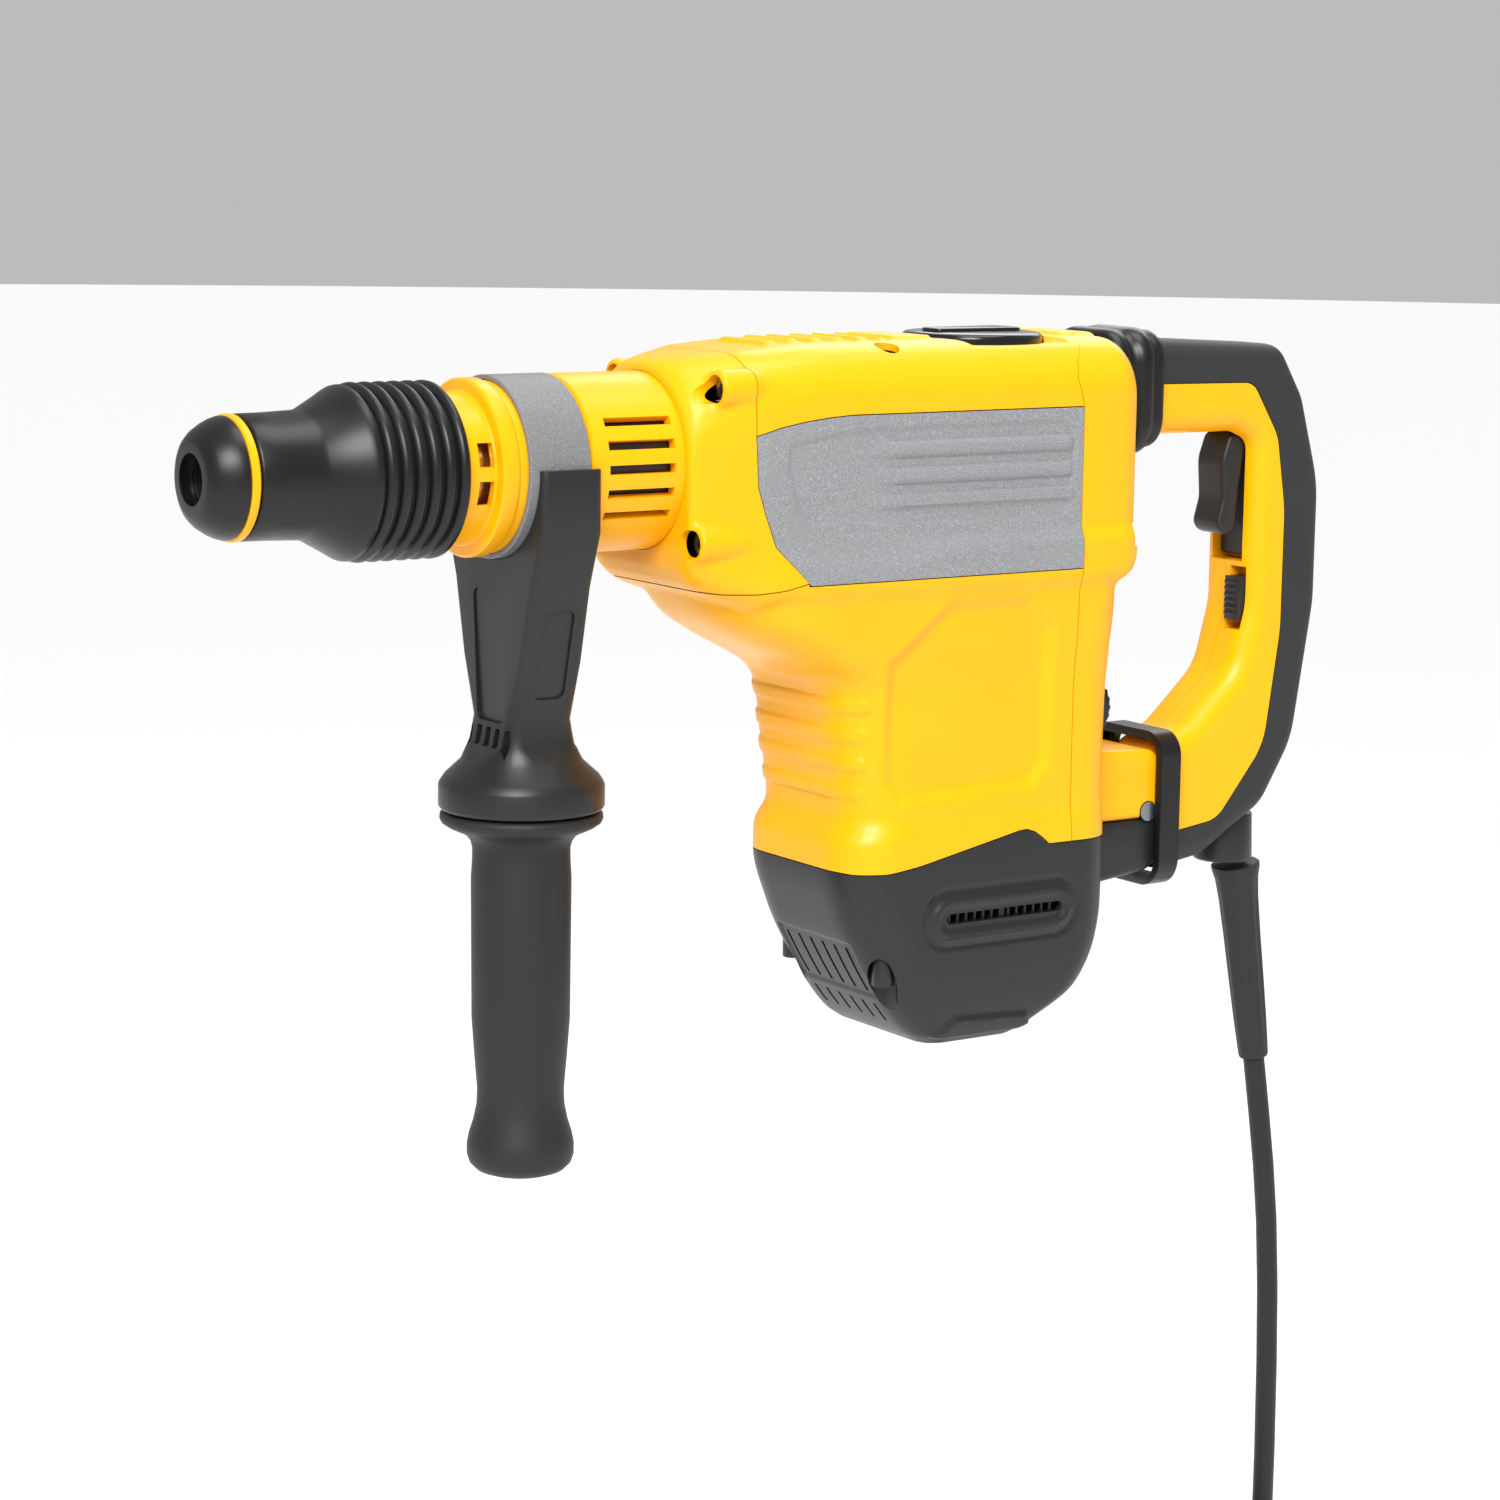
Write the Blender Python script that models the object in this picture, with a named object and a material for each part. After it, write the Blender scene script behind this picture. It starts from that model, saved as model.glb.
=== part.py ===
"""Demolition hammer with a slotted-shank chuck, a side handle and a sprung D-handle.

+X runs to the rear, towards the D-handle, the chuck points along -X and +Z is up. Sizes are in
millimetres and are drawn from a point on the tool axis in the plane of the side handle's stem.
The builders move them to ORIGIN and scale them to metres.
"""

import math

import bmesh
import bpy
from mathutils import Matrix, Vector

MM = 0.001
GAP = 0.3  # running gap between pieces that touch
SEAM = 0.15  # half of the gap left along a moulded seam

ORIGIN = Vector((31, 0, 0))  # centre of the barrel behind the side handle, from the drawing's own origin

# Driving dimensions
BARREL_R = 33.0  # yellow barrel behind the side handle
COLLAR_R = 31.2  # seat that the side handle's strap grips
FLANGE_R = 32.4
NOSE_X = -132.0  # tip of the rubber nose cap
SHANK_R = 9.0  # 18 mm shank of the bit
WALL = 3.0  # moulded wall of the casings
HALF_WIDTH = 43.0  # casing, from the mid-plane to the side
MOTOR_X = 187.0  # upright armature shaft
GEAR_MODULE = 1.25
PINION_TEETH, IDLER_TEETH, CRANK_TEETH = 8, 34, 44
BEVEL_TEETH, CROWN_TEETH = 10, 30
CRANK_THROW = 12.0
ROD_LENGTH = 52.0
PIVOT = (283.0, 0.0, -150.0)  # pin that the D-handle rocks on
SIDE_GRIP_BOTTOM = -264.0
CORD_R = 4.55
FLOOR_Z = -545.0  # ground that the spare cord lies on, below the held tool

SELECTOR_X, SELECTOR_R = 202.5, 27.5
SCREWS = [(-35, 28, 60), (35, 28, 60), (-35, -28, 51), (35, -28, 51)]  # front cover bosses: y, z, front face

IDLER_X = MOTOR_X - GEAR_MODULE * (PINION_TEETH + IDLER_TEETH) / 2
CRANK_X = MOTOR_X + GEAR_MODULE * (PINION_TEETH + CRANK_TEETH) / 2

COLOURS = {
    "yellow_plastic": ((0.95, 0.55, 0.02), 0.35, 0.0),
    "black_plastic": ((0.03, 0.03, 0.03), 0.5, 0.0),
    "black_rubber": ((0.02, 0.02, 0.02), 0.8, 0.0),
    "grey_panel": ((0.35, 0.35, 0.36), 0.6, 0.2),
    "steel": ((0.6, 0.6, 0.62), 0.3, 1.0),
    "dark_steel": ((0.12, 0.12, 0.13), 0.4, 1.0),
    "aluminium": ((0.7, 0.7, 0.72), 0.4, 1.0),
    "copper": ((0.7, 0.32, 0.12), 0.35, 1.0),
    "brass": ((0.75, 0.6, 0.25), 0.35, 1.0),
    "carbon": ((0.05, 0.05, 0.05), 0.6, 0.0),
}


# ---------------------------------------------------------------- builders


def material(name):
    """The Principled material of one finish, made once."""
    found = bpy.data.materials.get(name)
    if found:
        return found
    colour, roughness, metallic = COLOURS[name]
    made = bpy.data.materials.new(name)
    made.use_nodes = True
    shader = made.node_tree.nodes["Principled BSDF"]
    shader.inputs["Base Color"].default_value = (*colour, 1)
    shader.inputs["Roughness"].default_value = roughness
    shader.inputs["Metallic"].default_value = metallic
    return made


def finish(name, bm, finish_name, smooth=True):
    """The bmesh, drawn in millimetres, as a named object in metres with its faces out."""
    bmesh.ops.recalc_face_normals(bm, faces=bm.faces)
    bmesh.ops.translate(bm, vec=-ORIGIN, verts=bm.verts)
    bmesh.ops.scale(bm, vec=(MM, MM, MM), verts=bm.verts)
    mesh = bpy.data.meshes.new(name)
    bm.to_mesh(mesh)
    bm.free()
    if smooth:
        mesh.shade_smooth()
        mesh.set_sharp_from_angle(angle=math.radians(35))
    made = bpy.data.objects.new(name, mesh)
    mesh.materials.append(material(finish_name))
    bpy.context.scene.collection.objects.link(made)
    return made


def as_cutter(obj):
    obj.hide_render = True
    obj.display_type = "WIRE"
    return obj


def boolean(obj, other, operation="DIFFERENCE"):
    modifier = obj.modifiers.new(operation.title() + "_" + other.name, "BOOLEAN")
    modifier.operation = operation
    modifier.solver = "EXACT"
    modifier.object = as_cutter(other)
    return obj


def bevelled(obj, width, segments=2, angle=40):
    modifier = obj.modifiers.new("Bevel", "BEVEL")
    modifier.width = width * MM
    modifier.segments = segments
    modifier.limit_method = "ANGLE"
    modifier.angle_limit = math.radians(angle)
    return obj


def frozen(obj, name, finish_name):
    """A new object that holds obj's evaluated mesh."""
    bpy.context.view_layer.update()
    graph = bpy.context.evaluated_depsgraph_get()
    mesh = bpy.data.meshes.new_from_object(obj.evaluated_get(graph))
    mesh.name = name
    mesh.materials.clear()
    mesh.materials.append(material(finish_name))
    made = bpy.data.objects.new(name, mesh)
    bpy.context.scene.collection.objects.link(made)
    return made


def turn_axis(axis, origin):
    """Places a shape that was drawn along +Z so that it runs along axis from origin."""
    turn = Vector((0, 0, 1)).rotation_difference(Vector(axis)).to_matrix().to_4x4()
    return Matrix.Translation(Vector(origin)) @ turn


def turned(name, profile, finish_name, axis=(1, 0, 0), origin=(0, 0, 0), segments=24):
    """A turned piece. The profile is a closed outline of (along, radius) points."""
    bm = bmesh.new()
    rings = []
    for along, radius in profile:
        if radius == 0:
            rings.append([bm.verts.new((0, 0, along))])
            continue
        angles = [2 * math.pi * k / segments for k in range(segments)]
        rings.append([bm.verts.new((radius * math.cos(a), radius * math.sin(a), along)) for a in angles])
    for here, there in zip(rings, rings[1:] + rings[:1]):
        if len(here) == 1 and len(there) == 1:
            continue
        for k in range(segments):
            after = (k + 1) % segments
            corners = [here[k % len(here)], here[after % len(here)], there[after % len(there)], there[k % len(there)]]
            bm.faces.new(list(dict.fromkeys(corners)))
    bm.transform(turn_axis(axis, origin))
    return finish(name, bm, finish_name)


def ring(name, x0, x1, inner, outer, finish_name, segments=24, **place):
    """A plain bush or bearing ring."""
    return turned(name, [(x0, inner), (x0, outer), (x1, outer), (x1, inner)], finish_name, segments=segments, **place)


def rod(name, x0, x1, radius, finish_name, segments=16, **place):
    """A plain round bar."""
    profile = [(x0, 0), (x0, radius), (x1, radius), (x1, 0)]
    return turned(name, profile, finish_name, segments=segments, **place)


def lofted(name, loops, finish_name):
    """A closed skin over loops of equally many points, capped at both ends."""
    bm = bmesh.new()
    rows = [[bm.verts.new(point) for point in loop] for loop in loops]
    count = len(rows[0])
    for here, there in zip(rows, rows[1:]):
        for k in range(count):
            after = (k + 1) % count
            bm.faces.new((here[k], here[after], there[after], there[k]))
    bm.faces.new(rows[0])
    bm.faces.new(rows[-1])
    return finish(name, bm, finish_name)


def prism(name, outline, low, high, finish_name, along="Y"):
    """An outline drawn in XZ and extruded along Y, or drawn in YZ along X, or in XY along Z."""
    place = {"Y": lambda a, b, d: (a, d, b), "X": lambda a, b, d: (d, a, b), "Z": lambda a, b, d: (a, b, d)}[along]
    bm = bmesh.new()
    rows = [[bm.verts.new(place(a, b, depth)) for a, b in outline] for depth in (low, high)]
    count = len(outline)
    for k in range(count):
        after = (k + 1) % count
        bm.faces.new((rows[0][k], rows[0][after], rows[1][after], rows[1][k]))
    bm.faces.new(rows[0])
    bm.faces.new(rows[1])
    return finish(name, bm, finish_name)


def box(name, low, high, finish_name):
    outline = [(low[0], low[2]), (high[0], low[2]), (high[0], high[2]), (low[0], high[2])]
    return prism(name, outline, low[1], high[1], finish_name)


def arc(centre, radius, start, end, count):
    """Points on a circular arc, with angles in degrees."""
    angles = [math.radians(start + (end - start) * k / (count - 1)) for k in range(count)]
    return [(centre[0] + radius * math.cos(a), centre[1] + radius * math.sin(a)) for a in angles]


def rounded_rectangle(low, high, radii, count=4):
    """A rectangle with its own radius at each corner, from (high, high) anticlockwise."""
    (a0, b0), (a1, b1) = low, high
    corners = [(a1, b1, -1, -1, 0), (a0, b1, 1, -1, 90), (a0, b0, 1, 1, 180), (a1, b0, -1, 1, 270)]
    points = []
    for (a, b, sa, sb, start), r in zip(corners, radii):
        points += arc((a + sa * r, b + sb * r), r, start, start + 90, count)
    return points


def rounded_outline(corners, count=4):
    """A closed outline from (a, b, radius) corners, each rounded by its own arc."""
    points = []
    for k, (a, b, radius) in enumerate(corners):
        here = Vector((a, b))
        if not radius:
            points.append((a, b))
            continue
        before = (Vector(corners[k - 1][:2]) - here).normalized()
        after = (Vector(corners[(k + 1) % len(corners)][:2]) - here).normalized()
        half = before.angle(after) / 2
        centre = here + (before + after).normalized() * (radius / math.sin(half))
        start = here + before * (radius / math.tan(half)) - centre
        end = here + after * (radius / math.tan(half)) - centre
        sweep = math.atan2(start.x * end.y - start.y * end.x, start.dot(end))
        for n in range(count):
            turn = sweep * n / (count - 1)
            c, s = math.cos(turn), math.sin(turn)
            points.append((centre.x + c * start.x - s * start.y, centre.y + s * start.x + c * start.y))
    return points


def inset_corners(corners, inset):
    """The (a, b, radius) corners of a clockwise outline, moved inwards with their radii kept parallel."""
    moved = []
    for k, (a, b, radius) in enumerate(corners):
        here = Vector((a, b))
        into = (here - Vector(corners[k - 1][:2])).normalized()
        out = (Vector(corners[(k + 1) % len(corners)][:2]) - here).normalized()
        normals = Vector((into.y, -into.x)), Vector((out.y, -out.x))
        mitre = (normals[0] + normals[1]) * (inset / (1 + normals[0].dot(normals[1])))
        convex = into.x * out.y - into.y * out.x < 0
        moved.append((a + mitre.x, b + mitre.y, max(radius - inset, 0.8) if convex else radius + inset))
    return moved


def gear_outline(teeth, pitch_radius, phase=0.0, addendum=1.0, dedendum=1.5):
    """A gear's outline. Its teeth are slim, so that they never bind. Phase is in teeth."""
    points = []
    pitch = 2 * math.pi / teeth
    flanks = [(-0.24, -dedendum), (-0.12, addendum), (0.12, addendum), (0.24, -dedendum)]
    for k in range(teeth):
        for part, height in flanks:
            angle = (k + phase + part) * pitch
            radius = pitch_radius + height
            points.append((radius * math.cos(angle), radius * math.sin(angle)))
    return points


def spur_gear(name, teeth, x, z0, z1, phase, finish_name):
    """A spur gear on an upright shaft."""
    outline = [(x + a, b) for a, b in gear_outline(teeth, GEAR_MODULE * teeth / 2, phase)]
    return prism(name, outline, z0, z1, finish_name, along="Z")


def helix(name, radius, wire, x0, x1, turns, finish_name, centre=(0.0, 0.0), steps=10):
    """A coil spring along X, as a closed tube of six sides."""
    bm = bmesh.new()
    rows = []
    for k in range(int(turns * steps) + 1):
        angle = 2 * math.pi * k / steps
        x = x0 + wire + (x1 - x0 - 2 * wire) * k / (turns * steps)
        row = []
        for side in range(6):
            around = math.radians(60 * side)
            out = radius + wire * math.cos(around)
            point = (x + wire * math.sin(around), centre[0] + out * math.cos(angle), centre[1] + out * math.sin(angle))
            row.append(bm.verts.new(point))
        rows.append(row)
    for here, there in zip(rows, rows[1:]):
        for side in range(6):
            after = (side + 1) % 6
            bm.faces.new((here[side], here[after], there[after], there[side]))
    bm.faces.new(rows[0])
    bm.faces.new(rows[-1])
    return finish(name, bm, finish_name)


# ---------------------------------------------------------------- casing

# Upright casing round the motor: height, front, rear, half width, front radius, rear radius
UPRIGHT = [
    (-230, 164, 208, 32, 8, 8), (-226, 158, 215, 36, 12, 10), (-212, 146, 238, 40, 18, 14),
    (-195, 135, 247, 41.5, 21, 16), (-180, 127.5, 250, 42, 22, 18), (-157, 121, 250, 42.5, 22, 18),
    (-146, 122, 250, 42, 22, 18), (-137, 126, 250, 41, 22, 18), (-92, 119.5, 250.5, 41, 22, 18),
    (-82, 113, 251, 41.5, 23, 18), (-77, 103, 251, 41.5, 26, 18), (-70, 88, 251.5, 42, 31, 18),
    (-60, 71, 252, 42.5, 35, 18), (-48, 60, 252, 42.5, 38, 18), (-38, 52, 252, 42, 38, 18),
]
# Level casing round the gears: station, top, half width, top radius, bottom
LEVEL = [
    (49, 36, 36, 33, -38.5), (52, 37.5, 37, 31, -43), (59, 38.5, 38.5, 28, -48), (70, 40, 41, 24, -53),
    (80, 41, 42.5, 21, -55), (110, 43, 43, 20, -55), (225, 43, 43, 20, -55), (246, 43, 42.5, 20, -55),
    (254, 40, 39, 20, -52), (257, 36, 35, 20, -48),
]
# Seams, drawn on the side: the panel's front edge and the motor cap's edge
PANEL_FRONT = [(74, 11), (75, -8), (81, -28), (96, -44)]
CAP_EDGE = [(243, -153), (214, -153), (203, -146.5), (170, -152), (137, -158), (118, -157), (95, -154)]
PANEL_TOP = [(74, 11), (94, 15.5), (116, 17.5), (225, 17.5)]
REAR_SEAM = [(262, 66), (236, 42), (222, 31), (225, 17.5)]
FRONT_SEAM_X, REAR_SEAM_X = 74, 225
FAR = 90  # past the outside of the casing


def casing_solid(name, inset):
    """The outer form of the casing, or the form of its hollow when inset is the wall."""
    upright = []
    for z, front, rear, half, r_front, r_rear in UPRIGHT:
        low, high = (front + inset, -half + inset), (rear - inset, half - inset)
        radii = [max(r - inset, 3) for r in (r_rear, r_front, r_front, r_rear)]
        upright.append([(x, y, z) for x, y in rounded_rectangle(low, high, radii)])
    upright[0] = [(x, y, z + inset) for x, y, z in upright[0]]
    level = []
    for x, top, half, radius, bottom in LEVEL:
        low, high = (-half + inset, bottom + inset), (half - inset, top - inset)
        radii = [radius - inset, radius - inset, 12, 12]
        level.append([(x, y, z) for y, z in rounded_rectangle(low, high, radii)])
    level[0] = [(x + inset, y, z) for x, y, z in level[0]]
    level[-1] = [(x - inset, y, z) for x, y, z in level[-1]]
    whole = lofted(name + "_upright", upright, "yellow_plastic")
    boolean(whole, lofted(name + "_level", level, "yellow_plastic"), "UNION")
    return whole


def casing_piece(name, shell, outline, finish_name, side=(-FAR, FAR)):
    """The part of the shell inside an outline drawn on the side."""
    piece = frozen(shell, name, finish_name)
    boolean(piece, prism(name + "_zone", outline, side[0], side[1], finish_name), "INTERSECT")
    return piece


def along_x(name, x0, x1, radius, y=0.0, z=0.0, segments=32):
    """A round cutter along X."""
    return rod(name, x0, x1, radius, "steel", segments, origin=(0, y, z))


def casing():
    shell = casing_solid("casing", 0.0)
    hollow = casing_solid("casing_hollow", WALL)
    boolean(shell, hollow)
    as_cutter(shell)
    s = SEAM

    front = casing_piece("front_cover", shell, [(30, 60), (FRONT_SEAM_X - s, 60)]
                         + [(x - s, z) for x, z in PANEL_FRONT] + [(96 - s, -46 + s), (30, -46 + s)], "yellow_plastic")
    boolean(front, along_x("front_cover_bore", 40, 60, BARREL_R + GAP))
    for k, (y, z, face) in enumerate(SCREWS):
        boolean(front, along_x(f"front_cover_boss_{k}", face, 72.7 if z > 0 else 70.7, 6.8, y, z, 14), "UNION")
        boolean(front, along_x(f"front_cover_hole_{k}", 30, face + 8.3, 5.2, y, z, 12))
        boolean(front, along_x(f"front_cover_bore_{k}", 50, 72, 3, y, z, 12))
    top = casing_piece("upper_housing", shell, [(FRONT_SEAM_X + s, 66)] + [(x - s, z) for x, z in REAR_SEAM[:-1]]
                       + [(REAR_SEAM_X - s, 17.5 + s)]
                       + [(x + (s if k == 0 else 0), z + s) for k, (x, z) in reversed(list(enumerate(PANEL_TOP[:-1])))],
                       "yellow_plastic")
    boolean(top, rod("selector_well", 30, 60, SELECTOR_R + 0.8, "steel", 28, axis=(0, 0, 1), origin=(SELECTOR_X, 0, 0)))
    for side, (low, high) in {"left": (-FAR, -20), "right": (20, FAR)}.items():
        outline = [(x + s, z) for x, z in reversed(PANEL_FRONT)] + [(x, z - s) for x, z in PANEL_TOP[1:3]]
        outline += [(REAR_SEAM_X - s, 17.5 - s), (REAR_SEAM_X - s, -45 + s), (96 + s, -45 + s)]
        casing_piece(f"side_panel_{side}", shell, outline, "grey_panel", (low, high))
    motor = casing_piece("motor_housing", shell, [(30, -46 - s), (96, -46 - s), (96, -45 - s), (REAR_SEAM_X - s, -45 - s),
                         (REAR_SEAM_X - s, -153 + s)] + [(x, z + s) for x, z in CAP_EDGE[1:]]
                         + [(95, -154 + s), (30, -154 + s)], "yellow_plastic")
    rear = casing_piece("rear_cover", shell, [(x + s, z) for x, z in reversed(REAR_SEAM)]
                        + [(300, 66), (300, -153 + s), (REAR_SEAM_X + s, -153 + s)], "yellow_plastic")
    boss = prism("boss_block", rounded_outline([(246, -123, 0), (290, -125, 8), (290, -155 + s, 0), (246, -153 + s, 0)]),
                 -19, 19, "yellow_plastic")
    boolean(rear, boss, "UNION")
    boolean(rear, prism("boss_hollow", [(240, -128), (300, -128), (300, -160), (240, -160)], -15.5, 15.5, "steel"))
    boolean(rear, rod("boss_pin_bore", -30, 30, 4.3, "steel", 16, axis=(0, 1, 0), origin=(PIVOT[0], 0, PIVOT[2])))
    boolean(rear, box("wheel_slot", (234, -27.5, -119), (264, -16.5, -89), "steel"))
    boolean(rear, along_x("damper_bore", 245, 262, 5.3, 0, 24, 16))
    cap = casing_piece("motor_cap", shell, [(243 + 20, -153 - s)] + [(x, z - s) for x, z in CAP_EDGE[1:]]
                       + [(30, -154 - s), (30, -260), (263, -260)], "black_plastic")
    tail = prism("cap_tail", rounded_outline([(246, -153 - s, 0), (290, -155 - s, 0), (290, -174, 8), (246, -179, 0)]),
                 -18.7, 18.7, "black_plastic")
    boolean(cap, tail, "UNION")
    boolean(cap, prism("cap_tail_hollow", [(240, -140), (300, -140), (300, -170), (240, -170)], -16, 16, "steel"))
    for k in range(7):
        x = 163 + 9.4 * k
        slot = rounded_outline([(x, -184, 1), (x + 7, -184, 1), (x + 7, -177, 1), (x, -177, 1)], 3)
        boolean(cap, prism(f"cap_vent_{k}", slot, -60, 60, "steel"))


def barrel():
    """The painted barrel in front of the gear casing, with its flange, strap seat and vents."""
    profile = [(-46, 24.6), (-46, 27.5), (-27, 27.5), (-26, FLANGE_R - 0.8), (-25, FLANGE_R), (-20, FLANGE_R),
               (-19, COLLAR_R), (10, COLLAR_R), (10.5, BARREL_R), (58, BARREL_R), (58, 29.0), (-22, 29.0), (-22, 24.6)]
    shroud = turned("barrel_shroud", profile, "yellow_plastic", segments=32)
    for side in (-1, 1):
        for k in range(-2, 3):
            angle = math.radians(15.5 * k)
            c, sn = math.cos(angle), math.sin(angle)
            mouth = [(14 * side, -1.7), (40 * side, -1.7), (40 * side, 1.7), (14 * side, 1.7)]
            slot = [(c * a - sn * b, sn * a + c * b) for a, b in mouth]
            boolean(shroud, prism(f"vent_{side}_{k}", slot, 17, 45, "steel", along="X"))
        for k, (low, high) in enumerate(((2.5, 11), (-11, -2.5))):
            boolean(shroud, box(f"collar_window_{side}_{k}", (-33.5, min(20 * side, 34 * side), low),
                                (-27.5, max(20 * side, 34 * side), high), "steel"))
    ring("barrel_frame", -21.7, 72, 22.3, 28.6, "aluminium", 28)
    ring("front_bush", -42, -4, 16.3, 22, "brass")
    for k, (y, z, face) in enumerate(SCREWS):
        head, shank = face + 3.3, face + 7.9
        profile = [(head, 0), (head, 4.7), (shank, 4.7), (shank, 2.5), (70.5, 2.5), (70.5, 0)]
        turned(f"cover_screw_{k + 1}", profile, "steel", origin=(0, y, z), segments=12)


# ---------------------------------------------------------------- chuck and hammer mechanism


def chuck():
    """The rotating tool holder with its locking bars, spring, sliding sleeve and dust cap."""
    bore = SHANK_R + 0.2
    holder = turned("tool_holder", [(-126, bore), (-126, 13.5), (-119, 14.4), (-112, 15), (-46, 15), (-46, 16), (14, 16), (14, 19),
                                    (30, 19), (30, bore)], "steel")
    for side in (-1, 1):
        boolean(holder, box(f"lock_slot_{side}", (-98.3, min(7 * side, 22 * side), -4.3),
                            (-77.7, max(7 * side, 22 * side), 4.3), "steel"))
        name = "locking_bar_left" if side < 0 else "locking_bar_right"
        bevelled(box(name, (-98, min(9.6 * side, 17.5 * side), -4), (-78, max(9.6 * side, 17.5 * side), 4),
                     "dark_steel"), 1, 1)
    turned("nose_cap", [(NOSE_X, bore), (NOSE_X, 13), (-130.5, 16), (-124, 20.5), (-119.5, 21.8), (-119.3, 21.8),
                        (-119.3, 14.9), (-126.3, 14.9), (-126.3, bore)], "black_rubber", segments=24)
    turned("chuck_ring", [(-119, 15.5), (-119, 21.6), (-118.5, 22.2), (-116.2, 22.2), (-115.8, 21.6), (-115.8, 15.5)],
           "yellow_plastic", segments=24)
    outer = [(-115.4, 21.7), (-114.8, 22.2), (-91, 22.7), (-78, 29.3), (-73, 31.0)]
    for k in range(5):
        outer += [(-70 + 6.2 * k, 31.5), (-67 + 6.2 * k, 30)]
    outer += [(-40, 31.8), (-38.7, 31.0)]
    inner = [(-38.7, 28.2), (-72, 28.2), (-76, 25.5), (-95, 19.0), (-115.4, 19.0)]
    turned("chuck_sleeve", outer + inner, "black_rubber", segments=24)
    helix("sleeve_spring", 20.5, 1.2, -70, -49, 3, "steel")


def hammer_mechanism():
    """Cylinder, piston, ram and beat piece on the tool axis, with the crank behind them."""
    ring("cylinder", 30.3, 185, 16.3, 19, "steel", 24)
    turned("beat_piece", [(-36, 0), (-36, 7), (-34, 8.7), (22, 8.7), (30.6, 8.7), (30.6, 13), (44, 13), (46, 11), (46, 0)],
           "steel", segments=24)
    turned("ram", [(60, 0), (60, 9), (66, 9), (68, 16), (92, 16), (92, 0)], "dark_steel", segments=28)
    x = CRANK_X - CRANK_THROW - ROD_LENGTH
    piston = turned("piston", [(x - 13, 0), (x - 13, 16), (x + 12, 16), (x + 12, 12.8), (x - 7.5, 12.8), (x - 7.5, 0)],
                    "aluminium", segments=28)
    boolean(piston, rod("wrist_bore", -20, 20, 4.2, "steel", 16, axis=(0, 0, 1), origin=(x, 0, 0)))
    big = CRANK_X - CRANK_THROW
    bar = arc((x, 0), 6.6, 110, 250, 7) + [(x + 12, -4), (big - 12, -4)] + arc((big, 0), 9.5, -150, 150, 13)
    bar += [(big - 12, 4), (x + 12, 4)]
    link = prism("connecting_rod", bar, -4, 4, "aluminium", along="Z")
    boolean(link, rod("wrist_pin", -12, 12, 3.9, "steel", 16, axis=(0, 0, 1), origin=(x, 0, 0)), "UNION")
    boolean(link, rod("rod_big_eye", -9, 9, 5.6, "steel", 16, axis=(0, 0, 1), origin=(big, 0, 0)))
    crank = turned("crankshaft", [(-52, 0), (-52, 6), (-19, 6), (-19, 18), (-9, 18), (-9, 0)], "steel",
                   axis=(0, 0, 1), origin=(CRANK_X, 0, 0))
    boolean(crank, rod("crank_pin", -12, -4.5, 5, "steel", 16, axis=(0, 0, 1), origin=(big, 0, 0)), "UNION")
    boolean(crank, spur_gear("crank_gear", CRANK_TEETH, CRANK_X, -38, -29, 0.5, "steel"), "UNION")


def rotary_drive():
    """The idler shaft whose small bevel pinion turns the crown gear round the cylinder."""
    pitch_radius = 28 * BEVEL_TEETH / CROWN_TEETH
    shaft = rod("idler_shaft", -56, -34, 5, "steel", 20, axis=(0, 0, 1), origin=(IDLER_X, 0, 0))
    teeth = [(IDLER_X + a, b) for a, b in gear_outline(BEVEL_TEETH, pitch_radius, 0, 0.8, 1.4)]
    boolean(shaft, prism("bevel_teeth", teeth, -34.5, -24.5, "steel", along="Z"), "UNION")
    boolean(shaft, spur_gear("idler_gear", IDLER_TEETH, IDLER_X, -46, -39.5, 0.5, "steel"), "UNION")
    mesh_x = IDLER_X - pitch_radius
    crown = ring("crown_gear", mesh_x - 9, mesh_x - 1.5, 19.3, 31.5, "steel", 24)
    pitch = 2 * math.pi / CROWN_TEETH
    for k in range(CROWN_TEETH):
        angle = k * pitch
        wedge = [(25.2, -0.85), (31.2, -1.1), (31.2, 1.1), (25.2, 0.85)]
        turnedwedge = [(math.cos(angle) * a - math.sin(angle) * b, math.sin(angle) * a + math.cos(angle) * b)
                       for a, b in wedge]
        boolean(crown, prism(f"crown_tooth_{k}", turnedwedge, mesh_x - 3, mesh_x + 0.8, "steel", along="X"), "UNION")
    plate = rounded_rectangle((128, -36), (244, 36), [14, 20, 20, 14], 4)
    frame = prism("gear_frame", plate, -62, -57, "aluminium", along="Z")
    boolean(frame, rod("frame_shaft_hole", -70, -50, 11.5, "steel", 24, axis=(0, 0, 1), origin=(MOTOR_X, 0, 0)))


# ---------------------------------------------------------------- motor


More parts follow.
